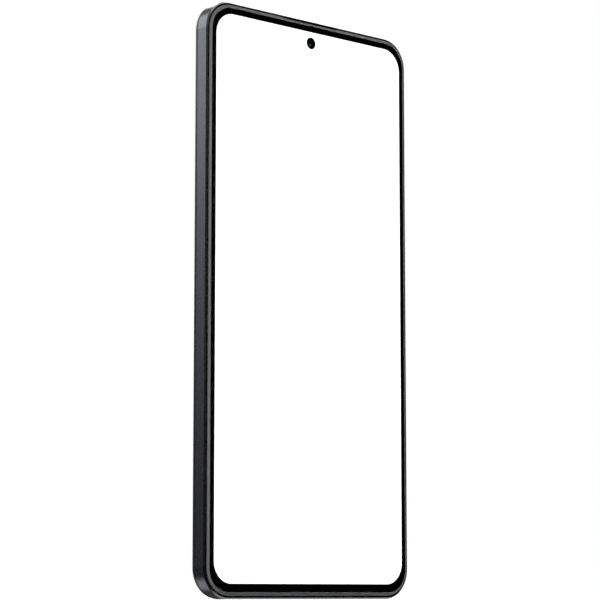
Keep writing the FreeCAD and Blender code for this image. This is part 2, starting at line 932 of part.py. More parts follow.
def make_buttons():
    """The two side keys, and the switches, flex and bracket behind them."""
    flange_outer = inner_side - D["flange_gap"]
    flange_inner = flange_outer - D["flange_thickness"]
    dome_top = flange_inner - D["power_nub"] - D["button_travel"] - D["dome_gap"]
    dome_base = dome_top - D["dome_thickness"]
    outside = side + D["button_proud"]
    cap_round, flange_corner, nub_radius, dome_radius = 0.2, 0.4, 0.6, 1.0
    rocker_share = 0.4
    middle = at(edge_middle)
    domes = []
    for name, length, drop, nub in buttons():
        centre = height - drop
        body = new_body(name)
        cap = sketch_on(body, "YZ_Plane", flange_outer, "cap")
        rounded_slot(cap, about(middle, D["button_width"]), about(centre, length))
        pad(body, cap, outside - flange_outer)
        dress(body, "Fillet", cap_round, lambda edge: edge.BoundBox.XMin > outside.value - CLOSE)
        flange = sketch_on(body, "YZ_Plane", flange_inner, "flange")
        spread = about(centre, length + 2 * D["flange_margin"])
        rounded(flange, about(middle, D["button_width"]), spread, flange_corner)
        pad(body, flange, D["flange_thickness"])
        reach = length * rocker_share
        spots = [centre] if name == "power_button" else [centre - reach, centre + reach]
        nubs = sketch_on(body, "YZ_Plane", flange_inner - nub, "nubs")
        for spot in spots:
            circle(nubs, middle, spot, nub_radius)
            domes.append(rod("x", (dome_base, edge_middle, spot), dome_radius, dome_top - dome_base))
        pad(body, nubs, nub)
        keep(body, name)
    keep(group(domes), "key_domes")

    end_margin, behind_middle, bracket_thickness = 1.0, 1.1, 0.4
    low = height - D["power_drop"] - D["power_length"] / 2 - end_margin
    high = height - D["volume_drop"] + D["volume_length"] / 2 + end_margin
    across = pair(deck_back, edge_middle + behind_middle)
    lane = pair(dome_base - D["flex_thickness"], dome_base)
    keep(box(lane, across, (low, high)), "side_key_flex")
    bracket_x = pair(lane[0] - bracket_thickness, lane[0])
    keep(box(bracket_x, across, (low + end_margin, high - end_margin)), "key_bracket")


# ---------------------------------------------------------------- boards and power


def make_boards():
    """Main board with its chips, shields, cover and antenna coil."""
    upper, lower = screw_places()
    camera_side, camera_drop = 18.1, 5.4
    step_x, step_z = size(-camera_side), selfie_height - camera_drop
    foot_right, foot_height = 3.0, 4.0
    foot_x, foot_z = flash_place[0] + foot_right, flash_place[1] + foot_height
    corner = D["board_corner"]
    outline = [
        ("line", board_right, step_z),
        ("line", step_x, step_z),
        ("line", step_x, board_top),
        ("line", board_left + corner, board_top),
        ("arc", board_left, board_top - corner, corner, 1),
        ("line", board_left, board_bottom),
    ]
    foot = [("line", foot_x, board_bottom), ("line", foot_x, foot_z), ("line", board_right, foot_z)]
    body = new_body("main_board")
    shape = face_sketch(body, board_front)
    trace(shape, (board_left, board_bottom), foot + outline)
    pad(body, shape, D["board_thickness"])
    holes = face_sketch(body, board_front, "screw_holes")
    for x, z in upper:
        circle(holes, x, z, D["screw_thread"] / 2 + gap)
    pocket(body, holes, D["board_thickness"])
    keep(body, "main_board")

    margin, skin = D["shield_margin"], D["shield_wall"]
    below_step = 1.5
    shield_x = pair(board_left + margin, board_right - margin)
    shield_z = pair(board_bottom + margin, step_z - below_step)
    hollow_x = pair(shield_x[0] + skin, shield_x[1] - skin)
    hollow_z = pair(shield_z[0] + skin, shield_z[1] - skin)
    front_y = pair(deck_back + D["shield_gap"], board_front)
    front_open = pair(front_y[0] + skin, board_front)
    keep(cut(box(shield_x, front_y, shield_z), box(hollow_x, front_open, hollow_z)), "shield_front")
    rear_y = pair(board_back, board_back + D["shield_height"])
    rear_open = pair(board_back, rear_y[1] - skin)
    keep(cut(box(shield_x, rear_y, shield_z), box(hollow_x, rear_open, hollow_z)), "shield_rear")

    middle_x = (shield_x[0] + shield_x[1]) / 2
    middle_z = (shield_z[0] + shield_z[1]) / 2
    # Each chip's place from the shields' middle, its width, height and thickness. Front ones come first.
    front_chips = [(-5.5, 0.0, 10.4, 12.4, 0.9), (6.5, 4.0, 9.0, 11.0, 0.8), (6.5, -7.0, 6.0, 6.0, 0.7)]
    rear_chips = [(-5.0, -4.0, 7.0, 7.0, 0.7), (5.0, 4.0, 6.4, 6.4, 0.8)]
    chips = []
    for x, z, wide, high, thick in front_chips:
        y = pair(board_front - thick, board_front)
        chips.append(box(about(middle_x + x, wide), y, about(middle_z + z, high)))
    for x, z, wide, high, thick in rear_chips:
        y = pair(board_back, board_back + thick)
        chips.append(box(about(middle_x + x, wide), y, about(middle_z + z, high)))
    keep(group(chips), "board_chips")
    film = 0.15
    keep(box(shield_x, pair(deck_back, deck_back + film), shield_z), "heat_spreader")

    cover = new_body("board_cover")
    shape = face_sketch(cover, board_cover_front)
    trace(shape, (board_left, board_bottom), [("line", board_right, board_bottom)] + outline)
    pad(cover, shape, D["board_cover_wall"])
    sleeve = face_sketch(cover, board_back, "sleeves")
    for x, z in upper:
        circle(sleeve, x, z, D["screw_thread"] / 2 + D["boss_wall"])
    pad(cover, sleeve, board_cover_front - board_back)
    holes = face_sketch(cover, board_back, "screw_holes")
    for x, z in upper:
        circle(holes, x, z, D["screw_thread"] / 2 + gap)
    pocket(cover, holes, board_cover_back - board_back)
    keep(cover, "board_cover")

    coil_corner, coil_band = 3.0, 4.0
    inner_corner = coil_corner / 2
    coil_y = pair(board_cover_back, board_cover_back + film)
    coil = plate("nfc_coil", shield_x, shield_z, coil_y, coil_corner)
    inside = face_sketch(coil, coil_y[0], "inside")
    inside_x = (shield_x[0] + coil_band, shield_x[1] - coil_band)
    inside_z = (shield_z[0] + coil_band, shield_z[1] - coil_band)
    rounded(inside, inside_x, inside_z, inner_corner)
    pocket(coil, inside, film)
    keep(coil, "nfc_coil")

    mic_depth, mic_low, mic_high = 1.1, 2.6, 0.3
    mic = box(
        about(top_microphone_place(), D["microphone_size"]),
        pair(board_front - mic_depth, board_front),
        pair(board_top - mic_low, board_top - mic_high),
    )
    keep(mic, "top_microphone")

    past_step, camera_gap, receiver_depth, below, above = 1.0, 3.4, 2.3, 3.4, 2.4
    receiver = box(
        pair(step_x + past_step, -camera_gap),
        pair(deck_back, deck_back + receiver_depth),
        pair(selfie_height - below, selfie_height + above),
    )
    keep(receiver, "earpiece")

    y_end = deck_back + D["screw_end_gap"]
    screws = []
    for places, y_head in ((upper, board_cover_back), (lower, sub_back)):
        for x, z in places:
            screws.append(rod("y", (x, y_head, z), D["screw_head"] / 2, D["screw_head_height"]))
            screws.append(rod("y", (x, y_end, z), D["screw_thread"] / 2, y_head - y_end))
    keep(group(screws), "screws")


def make_power():
    """Battery, its lead, and the flex and antenna cable that pass it."""
    battery = plate(
        "battery",
        pair(battery_left, battery_right),
        pair(battery_bottom, battery_top),
        pair(battery_front, battery_back),
        D["battery_corner"],
    )
    keep(battery, "battery")

    thin = D["flex_thickness"]
    plug_height, plug_length, plug_margin = 0.7, 2.0, 1.6
    plug = board_back + plug_height
    plug_low = board_bottom + plug_margin
    plug_high = plug_low + plug_length
    tab_drop, loop = 1.2, 1.2
    y_tab = battery_back - tab_drop
    bend = battery_top + loop
    lead_start, lead_end = 6.0, 14.0
    lead = [
        (y_tab, battery_top),
        (y_tab + thin, battery_top),
        (y_tab + thin, bend),
        (plug + thin, bend),
        (plug + thin, plug_high),
        (board_back, plug_high),
        (board_back, plug_low),
        (plug, plug_low),
        (plug, bend - thin),
        (y_tab, bend - thin),
    ]
    keep(strip("battery_flex", pair(board_left + lead_start, board_left + lead_end), lead), "battery_flex")

    over = battery_back + gap
    low_plug_height, low_margin, short_loop = 0.5, 1.2, 0.6
    low_plug = sub_back + low_plug_height
    low_bend = battery_bottom - low_margin
    high_bend = battery_top + short_loop
    low_plug_high = D["bottom_zone"] - plug_margin
    low_plug_low = low_plug_high - plug_length
    flex_left, flex_right = 15.5, 6.5
    flex = [
        (over, low_bend),
        (over, high_bend),
        (plug, high_bend),
        (plug, plug_low),
        (board_back, plug_low),
        (board_back, plug_high),
        (plug + thin, plug_high),
        (plug + thin, high_bend + thin),
        (over + thin, high_bend + thin),
        (over + thin, low_bend - thin),
        (low_plug + thin, low_bend - thin),
        (low_plug + thin, low_plug_low),
        (sub_back, low_plug_low),
        (sub_back, low_plug_high),
        (low_plug, low_plug_high),
        (low_plug, low_bend),
    ]
    keep(strip("main_flex", pair(board_right - flex_left, board_right - flex_right), flex), "main_flex")

    thread = D["cable_thickness"] / 2
    plug_reach, plug_radius, plug_rise = 1.8, 1.0, 1.0
    lane_x = board_left - gap - thread
    plug_x = board_left + plug_reach
    below_top, above_bottom = 5.0, 8.0
    low_end, high_end = D["bottom_zone"] - below_top, board_bottom + above_bottom
    lane_depth = sub_back + gap + thread
    high_depth = board_back + gap + thread
    cable = [rod("z", (lane_x, lane_depth, low_end), thread, high_end - low_end)]
    for z, board in ((low_end, sub_back), (high_end, board_back)):
        cable.append(rod("x", (lane_x, board + gap + thread, z), thread, plug_x - lane_x))
        cable.append(rod("y", (plug_x, board, z), plug_radius, plug_rise))
    cable.append(rod("y", (lane_x, high_depth, high_end), thread, lane_depth - high_depth))
    keep(group(cable), "antenna_cable")

    tab_place, tab_width, tab_length, tab_rise = -10.0, 12.0, 60.0, 3.0
    tab_low, tab_fold = battery_bottom - 0.6, battery_bottom - 0.5
    tab = [
        (deck_back, battery_bottom + tab_length),
        (deck_back, tab_low),
        (deck_back + tab_rise, tab_low),
        (deck_back + tab_rise, tab_fold),
        (battery_front, tab_fold),
        (battery_front, battery_bottom + tab_length),
    ]
    keep(strip("battery_pull_tab", about(tab_place, tab_width), tab), "battery_pull_tab")


def make_lower_board():
    """The lower board with the charging port, loudspeaker, microphone and buzzer round it."""
    lower = screw_places()[1]
    speaker_gap, edge_gap, port_room = 1.2, 1.3, 0.3
    right = D["speaker_left"] - speaker_gap
    low, top = wall + edge_gap, D["bottom_zone"]
    notch = D["port_width"] / 2 + D["port_shell"] + port_room
    notch_top = wall + D["port_length"] + port_room
    body = new_body("sub_board")
    shape = face_sketch(body, sub_front)
    corner = D["board_corner"]
    trace(shape, (notch, low), [
        ("line", right, low),
        ("line", right, top),
        ("line", board_left, top),
        ("line", board_left, low + corner),
        ("arc", board_left + corner, low, corner, 1),
        ("line", -notch, low),
        ("line", -notch, notch_top),
        ("line", notch, notch_top),
        ("line", notch, low),
    ])
    pad(body, shape, sub_back - sub_front)
    holes = face_sketch(body, sub_front, "screw_holes")
    for x, z in lower:
        circle(holes, x, z, D["screw_thread"] / 2 + gap)
    pocket(body, holes, sub_back - sub_front)
    keep(body, "sub_board")

    def port_tube(name, grow, bore, z):
        """A tube round the port's opening."""
        tube = new_body(name)
        outer = sketch_on(tube, "XY_Plane", z[0], "outer")
        middle = at(edge_middle)
        outer_y = about(middle, D["port_height"] + 2 * grow)
        rounded_slot(outer, about(0, D["port_width"] + 2 * grow), outer_y)
        pad(tube, outer, z[1] - z[0])
        inner = sketch_on(tube, "XY_Plane", z[0], "bore")
        inner_y = about(middle, D["port_height"] + 2 * bore)
        rounded_slot(inner, about(0, D["port_width"] + 2 * bore), inner_y)
        pocket(tube, inner, z[1] - z[0])
        return tube

    back_wall, back_fit, seal_wall, seal_length, tongue_start = 0.5, 0.1, 0.2, 1.0, 1.1
    port_end = wall + D["port_length"]
    shell = port_tube("usb_shell", D["port_shell"], size(0), pair(wall, port_end))
    back = sketch_on(shell, "XY_Plane", port_end - back_wall, "back_wall")
    back_y = about(at(edge_middle), D["port_height"] + back_fit)
    rounded_slot(back, about(0, D["port_width"] + back_fit), back_y)
    pad(shell, back, back_wall)
    keep(shell, "usb_shell")
    seal_z = pair(wall, wall + seal_length)
    seal = port_tube("usb_seal", D["port_shell"] + seal_wall, D["port_shell"], seal_z)
    keep(seal, "usb_seal")
    tongue = box(
        about(0, D["tongue_width"]),
        about(edge_middle, D["tongue_thickness"]),
        pair(tongue_start, port_end - back_wall),
    )
    keep(tongue, "usb_tongue")

    side_gap, above_edge, behind, speaker_corner = 0.8, 1.5, 1.0, 1.2
    frame_corner = D["corner_radius"] - wall - 1.1
    speaker = plate(
        "loudspeaker",
        pair(D["speaker_left"], inner_side - side_gap),
        pair(wall + above_edge, D["bottom_zone"]),
        pair(deck_back, cover_inside - behind),
        (speaker_corner, frame_corner, speaker_corner, speaker_corner),
    )
    keep(speaker, "loudspeaker")
    past_left, cloth_height, cloth = 0.6, 2.0, 0.15
    grille_x = pair(D["speaker_left"] + past_left, side - D["corner_radius"])
    keep(box(grille_x, about(edge_middle, cloth_height), pair(wall, wall + cloth)), "speaker_mesh")
    mic_depth, mic_low, mic_high = 1.0, 0.2, 2.6
    mic = box(
        about(-D["microphone_offset"], D["microphone_size"]),
        pair(sub_front - mic_depth, sub_front),
        pair(low + mic_low, low + mic_high),
    )
    keep(mic, "bottom_microphone")

    skin, leaf, travel = D["haptic_skin"], D["haptic_leaf"], D["haptic_travel"]
    case = (
        pair(-D["haptic_left"], D["haptic_width"] - D["haptic_left"]),
        pair(deck_back, sub_front - gap),
        pair(D["haptic_low"], D["haptic_low"] + D["haptic_length"]),
    )
    room = [(low_side + skin, high_side - skin) for low_side, high_side in case]
    keep(cut(box(*case), box(*room)), "haptic_case")
    end_gap, depth_gap, height_gap = 0.6, 0.1, 0.2
    mass = box(
        (room[0][0] + travel + end_gap, room[0][1] - travel - end_gap),
        (room[1][0] + depth_gap, room[1][1] - depth_gap),
        (room[2][0] + height_gap, room[2][1] - height_gap),
    )
    keep(mass, "haptic_mass")
    leaf_depth_gap, leaf_end_gap = 0.3, 1.0
    leaf_y = (room[1][0] + leaf_depth_gap, room[1][1] - leaf_depth_gap)
    leaf_z = (room[2][0] + leaf_end_gap, room[2][1] - leaf_end_gap)
    leaves = [
        box((room[0][0], room[0][0] + leaf), leaf_y, leaf_z),
        box((room[0][1] - leaf, room[0][1]), leaf_y, leaf_z),
    ]
    keep(group(leaves), "haptic_springs")


def make_tray():
    """Card tray with its seal, the reader that holds it and the pin-driven ejector."""
    fit, middle = D["tray_fit"], at(edge_middle)
    cap_top = cap_inside - fit
    groove = D["seal_groove"]
    seal_z = pair(cap_top, cap_top + D["seal_width"])
    tray_top = cap_top + D["tray_length"]
    tray_x = about(tray_middle, D["tray_width"])
    body = new_body("sim_tray")
    cap = sketch_on(body, "XY_Plane", 0, "cap")
    rounded_slot(cap, about(tray_middle, D["tray_cap_width"]), about(middle, D["tray_cap_height"]))
    pad(body, cap, cap_top)
    for name, z, inset in (("neck", seal_z, groove), ("slab", (seal_z[1], tray_top), size(0))):
        slab = sketch_on(body, "XY_Plane", z[0], name)
        slab_x = (tray_x[0] + inset, tray_x[1] - inset)
        slab_y = about(middle, D["tray_thickness"] - 2 * inset)
        corners = [
            (slab_x[1], slab_y[0]),
            (slab_x[1], slab_y[1]),
            (slab_x[0], slab_y[1]),
            (slab_x[0], slab_y[0]),
        ]
        polygon(slab, corners)
        pad(body, slab, z[1] - z[0])
    # A card lies in each face, and its contacts show through a window between the two.
    card_rim, card_length, card_gap, card_thickness, card_corner = 0.75, 12.6, 0.9, 0.68, 0.8
    card_x = (tray_x[0] + card_rim, tray_x[1] - card_rim)
    card_z = (tray_top - card_gap - card_length, tray_top - card_gap)
    for y, name in ((tray_front, "front_card"), (tray_back - card_thickness, "back_card")):
        seat = face_sketch(body, y, name)
        rounded(seat, card_x, card_z, card_corner)
        pocket(body, seat, card_thickness)
    ledge_side, ledge_end, window_corner = 1.6, 2.4, 0.5
    web = face_sketch(body, tray_front, "contact_window")
    web_x = (card_x[0] + ledge_side, card_x[1] - ledge_side)
    web_z = (card_z[0] + ledge_end, card_z[1] - ledge_end)
    rounded(web, web_x, web_z, window_corner)
    pocket(body, web, D["tray_thickness"])
    pin = sketch_on(body, "XY_Plane", 0, "pin_hole")
    circle(pin, eject_x, middle, D["pin_hole"] / 2)
    pocket(body, pin, cap_inside)
    keep(body, "sim_tray")
    squeeze = 0.6
    spread = fit * squeeze
    seal = box((tray_x[0] - spread, tray_x[1] + spread), (tray_front - spread, tray_back + spread), seal_z)
    neck = box(
        (tray_x[0] + groove, tray_x[1] - groove),
        (tray_front + groove, tray_back - groove),
        (seal_z[0] - PAST, seal_z[1] + PAST),
    )
    keep(cut(seal, neck), "tray_seal")

    edge_gap, end_gap = 1.3, 0.2
    reader_x = pair(tray_x[0] - fit - D["reader_wall"], tray_x[1] + fit + D["reader_wall"])
    reader_y = pair(deck_back, sub_front)
    reader_z = pair(wall + edge_gap, tray_top + end_gap)
    way = box(
        (tray_x[0] - fit, tray_x[1] + fit),
        (tray_front - fit, tray_back + fit),
        (reader_z[0] - PAST, reader_z[1] + PAST),
    )
    guide_low, guide_high, guide_length, guide_width, guide_fit = 1.5, 2.5, 1.6, 2.0, 0.05
    guides = []
    for low in (reader_z[0] + guide_low, reader_z[1] - guide_high):
        guide_x = (reader_x[1], eject_x + guide_width / 2)
        guides.append(box(guide_x, about(edge_middle, guide_width), pair(low, low + guide_length)))
    bore_start = (eject_x, edge_middle, reader_z[0])
    guide_bore = rod("z", bore_start, D["pin_hole"] / 2 + guide_fit, reader_z[1] - reader_z[0])
    keep(cut(group([box(reader_x, reader_y, reader_z)] + guides), way, guide_bore), "sim_reader")

    rod_start, rod_past, lever_gap = 0.2, 0.9, 0.05
    rod_low, rod_top = reader_z[0] + rod_start, reader_z[1] + rod_past
    push = rod("z", (eject_x, edge_middle, rod_low), D["pin_hole"] / 2, rod_top - rod_low)
    keep(push, "eject_rod")
    eye_radius, bore_radius, pin_radius, pin_past = 1.1, 0.55, 0.5, 0.3
    pivot_x = eject_x - D["lever_arm"]
    lever_low = rod_top + lever_gap
    lever_y = about(edge_middle, D["lever_thickness"])
    pivot_z = lever_low + D["lever_height"] / 2
    bar = box(
        (pivot_x - D["lever_tip"], eject_x + D["pin_hole"] / 2),
        lever_y,
        (lever_low, lever_low + D["lever_height"]),
    )
    eye = rod("y", (pivot_x, lever_y[0], pivot_z), eye_radius, lever_y[1] - lever_y[0])
    bore_span = D["lever_thickness"] + 2 * PAST
    bore = rod("y", (pivot_x, lever_y[0] - PAST, pivot_z), bore_radius, bore_span)
    keep(cut(group([bar, eye]), bore), "eject_lever")
    pin_front = lever_y[0] - pin_past
    keep(rod("y", (pivot_x, pin_front, pivot_z), pin_radius, sub_front - pin_front), "eject_pivot")


# ---------------------------------------------------------------- back cameras


def lens_ring(name, place, across):
    """A metal ring that stands on the plate and holds a window. Returns the window."""
    step, ledge_width, outer_break, inner_break, foot_gap = D["ring_step"], 0.6, 0.25, 0.15, 0.2
    outer = across / 2
    neck = outer - step
    window = outer - D["ring_band"]
    ledge = window - ledge_width
    glass_low = ring_face - D["window_drop"]
    low = cover_inside + foot_gap
    body = new_body(name)
    section = body.newObject("Sketcher::SketchObject", "section")
    origin = next(f for f in body.Origin.OriginFeatures if f.Role == "XY_Plane")
    section.AttachmentSupport = [(origin, "")]
    section.MapMode = "FlatFace"
    points = [
        (ledge, low),
        (neck, low),
        (neck, camera_face),
        (outer, camera_face),
        (outer, ring_face - outer_break),
        (outer - outer_break, ring_face),
        (window + inner_break, ring_face),
        (window, ring_face - inner_break),
        (window, glass_low),
        (ledge, glass_low),
    ]
    polygon(section, [(x, at(y)) for x, y in points])
    revolve(body, section, place)
    keep(body, name)
    return rod("y", (place[0], glass_low, place[1]), window, D["window_thickness"])


def make_cameras():
    """The raised plate, three ringed lenses and the flash, and the modules behind them."""
    edge_round, flange_thickness, flange_spread, hole_fit = 0.5, 0.35, 0.5, 0.05
    plate_x, plate_z = pair(camera_left, camera_right), pair(camera_bottom, camera_top)
    plate_y = pair(cover_inside, camera_face)
    body = plate("camera_plate", plate_x, plate_z, plate_y, D["camera_plate_corner"])
    dress(body, "Fillet", edge_round, at_depth(camera_face))
    flange_front = cover_inside - flange_thickness
    flange = face_sketch(body, flange_front, "flange")
    rounded(
        flange,
        (camera_left - flange_spread, camera_right + flange_spread),
        (camera_bottom - flange_spread, camera_top + flange_spread),
        D["camera_plate_corner"] + flange_spread,
    )
    pad(body, flange, flange_thickness)
    holes = face_sketch(body, cover_inside - PAST, "lens_holes")
    lenses = (
        ("main_lens_ring", main_lens, D["big_ring"]),
        ("wide_lens_ring", wide_lens, D["big_ring"]),
        ("macro_lens_ring", macro_lens, D["small_ring"]),
    )
    for _, place, across in lenses:
        circle(holes, *place, across / 2 - D["ring_step"] + hole_fit)
    flash_radius = D["flash_size"] / 2
    circle(holes, *flash_place, flash_radius + hole_fit)
    pocket(body, holes, camera_face - cover_inside + 2 * PAST)
    keep(body, "camera_plate")
    keep(group([lens_ring(*lens) for lens in lenses]), "lens_windows")

    foot_thickness, foot_spread = 0.4, 0.6
    foot_front = flange_front - foot_thickness
    flash = [
        rod("y", (flash_place[0], flange_front, flash_place[1]), flash_radius, camera_face - flange_front),
        rod("y", (flash_place[0], foot_front, flash_place[1]), flash_radius + foot_spread, foot_thickness),
    ]
    keep(group(flash), "flash_lens")
    led_room, led_height, led_width, riser_width = 1.2, 0.6, 2.0, 3.6
    riser_top = flange_front - led_room
    riser_y = pair(board_back, riser_top)
    riser = box(about(flash_place[0], riser_width), riser_y, about(flash_place[1], riser_width))
    led_y = pair(riser_top, riser_top + led_height)
    led = box(about(flash_place[0], led_width), led_y, about(flash_place[1], led_width))
    keep(group([riser, led]), "flash_led")

    below_cover, below_window, well_fit, magnet_room, barrel_room = 0.75, 0.3, 0.1, 2.4, 0.8
    block_top = cover_inside - below_cover
    module = D["main_module"]
    barrel = D["big_ring"] / 2 - D["ring_band"] - barrel_room
    well_low = deck_back + magnet_room
    barrel_low = well_low + well_fit
    barrel_top = ring_face - D["window_drop"] - D["focus_travel"] - below_window
    well = rod("y", (main_lens[0], well_low, main_lens[1]), barrel + well_fit, block_top - well_low + PAST)
    block = box(about(main_lens[0], module), pair(deck_back, block_top), about(main_lens[1], module))
    keep(cut(block, well), "main_camera")
    focus = rod("y", (main_lens[0], barrel_low, main_lens[1]), barrel, barrel_top - barrel_low)
    keep(focus, "main_lens_barrel")
    wide_barrel = D["big_ring"] - D["wide_reduction"]
    macro_barrel = D["small_ring"] - D["macro_reduction"]
    make_camera("wide_camera", wide_lens, D["wide_module"], block_top, wide_barrel, barrel_top)
    make_camera("macro_camera", macro_lens, D["macro_module"], block_top, macro_barrel, barrel_top)
    make_front_camera()


# ---------------------------------------------------------------- build and write


def check_and_write():
    """Recomputes, refuses a failed object or an open shape, and writes one STEP file for each sub-part."""
    doc.recompute()
    faults = [o.Name for o in doc.Objects if "Invalid" in o.State or "Error" in o.State]
    faults += [n.Label for n in nodes if n.Shape.isNull() or not n.Shape.isValid() or not n.Shape.Solids]
    loose = [o.Name for o in doc.Objects if o.TypeId == "Sketcher::SketchObject" and not o.FullyConstrained]
    if faults or loose:
        raise RuntimeError(f"failed objects {faults}, loose sketches {loose}")
    os.makedirs("parts", exist_ok=True)
    for node in nodes:
        node.Shape.exportStep(os.path.join("parts", node.Label + ".step"))
    print(len(nodes), "sub-parts written")


make_side_frame()
make_deck()
make_rear_cover()
make_display()
make_buttons()
make_boards()
make_power()
make_lower_board()
make_tray()
make_cameras()
check_and_write()
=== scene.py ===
"""Looks of the smartphone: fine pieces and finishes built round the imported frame, in metres.

-Y is out of the screen, +Y out of the back and +Z up along the long edge.
"""

import json
import math

import bmesh
import bpy
from mathutils import Matrix, Vector


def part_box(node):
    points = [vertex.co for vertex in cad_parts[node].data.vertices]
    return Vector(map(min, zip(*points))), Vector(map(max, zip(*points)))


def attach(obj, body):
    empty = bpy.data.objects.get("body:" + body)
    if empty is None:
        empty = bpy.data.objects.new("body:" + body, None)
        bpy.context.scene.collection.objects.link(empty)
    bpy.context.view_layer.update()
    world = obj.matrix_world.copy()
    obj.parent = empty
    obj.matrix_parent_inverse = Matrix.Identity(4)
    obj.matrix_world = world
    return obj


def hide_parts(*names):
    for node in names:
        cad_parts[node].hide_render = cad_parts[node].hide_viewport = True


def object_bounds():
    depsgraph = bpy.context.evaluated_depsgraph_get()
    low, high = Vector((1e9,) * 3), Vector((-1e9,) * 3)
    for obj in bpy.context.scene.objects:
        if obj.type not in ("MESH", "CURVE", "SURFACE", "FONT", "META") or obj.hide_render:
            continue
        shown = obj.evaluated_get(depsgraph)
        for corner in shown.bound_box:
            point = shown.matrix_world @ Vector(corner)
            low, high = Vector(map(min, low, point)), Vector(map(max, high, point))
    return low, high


MM = 0.001
MICRON = 0.000001
LAYER_GAP = 2 * MICRON  # between a print and the glass over it
NEAR = 1e-7  # places closer than this are the same place

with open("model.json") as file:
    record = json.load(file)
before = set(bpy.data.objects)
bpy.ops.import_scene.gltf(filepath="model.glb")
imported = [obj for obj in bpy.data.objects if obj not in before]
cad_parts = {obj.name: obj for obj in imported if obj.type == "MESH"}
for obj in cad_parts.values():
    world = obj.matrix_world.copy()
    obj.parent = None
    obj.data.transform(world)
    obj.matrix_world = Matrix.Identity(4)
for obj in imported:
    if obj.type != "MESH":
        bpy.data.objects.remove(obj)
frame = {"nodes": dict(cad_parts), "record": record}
cad_low, cad_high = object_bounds()


# ---------------------------------------------------------------- modelling tools


def deselect():
    if bpy.context.mode != "OBJECT":
        bpy.ops.object.mode_set(mode="OBJECT")
    bpy.ops.object.select_all(action="DESELECT")


def only(piece):
    """Makes a piece the one that operators act on."""
    deselect()
    piece.select_set(True)
    bpy.context.view_layer.objects.active = piece
    return piece


def edit(piece):
    only(piece)
    bpy.ops.object.mode_set(mode="EDIT")
    bpy.ops.mesh.select_all(action="DESELECT")
    return bmesh.from_edit_mesh(piece.data)


def pick_edges(piece, wanted):
    """Edit mode, with the edges selected for which wanted(edge) is true."""
    mesh = edit(piece)
    bpy.ops.mesh.select_mode(type="EDGE")
    for edge in mesh.edges:
        edge.select_set(wanted(edge))
    bmesh.update_edit_mesh(piece.data)
    return mesh


def pick_faces(piece, wanted):
    """Edit mode, with the faces selected for which wanted(face) is true."""
    mesh = edit(piece)
    bpy.ops.mesh.select_mode(type="FACE")
    for face in mesh.faces:
        face.select_set(wanted(face))
    bmesh.update_edit_mesh(piece.data)
    return mesh


def settle(piece):
    """Puts the piece's place into its mesh, so that its object sits at the origin."""
    only(piece)
    bpy.ops.object.transform_apply(location=True, rotation=True, scale=True)
    return piece


def use_modifier(piece, kind, **values):
    only(piece)
    modifier = piece.modifiers.new(kind.lower(), kind)
    for name, value in values.items():
        setattr(modifier, name, value)
    bpy.ops.object.modifier_apply(modifier=modifier.name)
    return piece


def block(name, low, high, round_off=0.0, segments=3):
    """A box between two corners with its edges rounded."""
    deselect()
    low, high = Vector(low), Vector(high)
    bpy.ops.mesh.primitive_cube_add(size=1, location=(low + high) / 2)
    piece = bpy.context.object
    piece.name = name
    piece.scale = high - low
    settle(piece)
    if round_off:
        pick_edges(piece, lambda edge: True)
        bpy.ops.mesh.bevel(offset=round_off, segments=segments, affect="EDGES")
        deselect()
    return piece


def along_y(edge):
    a, b = (v.co for v in edge.verts)
    return abs(a.x - b.x) < NEAR and abs(a.z - b.z) < NEAR


def plate(name, low, high, corner, segments=24):
    """A flat plate that faces along Y, with round corners."""
    piece = block(name, low, high)
    pick_edges(piece, along_y)
    bpy.ops.mesh.bevel(offset=corner, segments=segments, affect="EDGES")
    deselect()
    return piece


def round_front(piece, radius, segments=6):
    """Rounds the plate's outline on its front face."""
    front = min(v.co.y for v in piece.data.vertices)
    pick_edges(piece, lambda edge: all(abs(v.co.y - front) < NEAR for v in edge.verts))
    bpy.ops.mesh.bevel(offset=radius, segments=segments, affect="EDGES")
    deselect()
    return piece


def turned(name, place, outline, segments=72, hollow=False):
    """A piece turned about an axis along Y through (x, z). Its outline is (radius, y) from end to end.

    A hollow one has no end faces, and its outline comes back to where it starts.
    """
    deselect()
    radius, y = outline[0]
    bpy.ops.mesh.primitive_circle_add(
        vertices=segments,
        radius=radius,
        fill_type="NOTHING" if hollow else "NGON",
        location=(place[0], y, place[1]),
        rotation=(math.pi / 2, 0, 0),
    )
    piece = settle(bpy.context.object)
    piece.name = name
    bpy.ops.object.mode_set(mode="EDIT")
    bpy.ops.mesh.select_all(action="SELECT")
    for next_radius, next_y in outline[1:]:
        step = {"value": (0, next_y - y, 0)}
        if hollow:
            bpy.ops.mesh.extrude_edges_move(TRANSFORM_OT_translate=step)
        else:
            bpy.ops.mesh.extrude_region_move(TRANSFORM_OT_translate=step)
        share = next_radius / radius
        centre = (place[0], next_y, place[1])
        bpy.ops.transform.resize(value=(share, 1, share), center_override=centre)
        radius, y = next_radius, next_y
    bpy.ops.mesh.select_all(action="SELECT")
    bpy.ops.mesh.remove_doubles(threshold=NEAR)
    bpy.ops.mesh.normals_make_consistent(inside=False)
    deselect()
    return piece


def washer(name, place, inner, outer, front, back, segments=72):
    """A flat ring about an axis along Y."""
    outline = [(outer, front), (outer, back), (inner, back), (inner, front), (outer, front)]
    return turned(name, place, outline, segments, hollow=True)


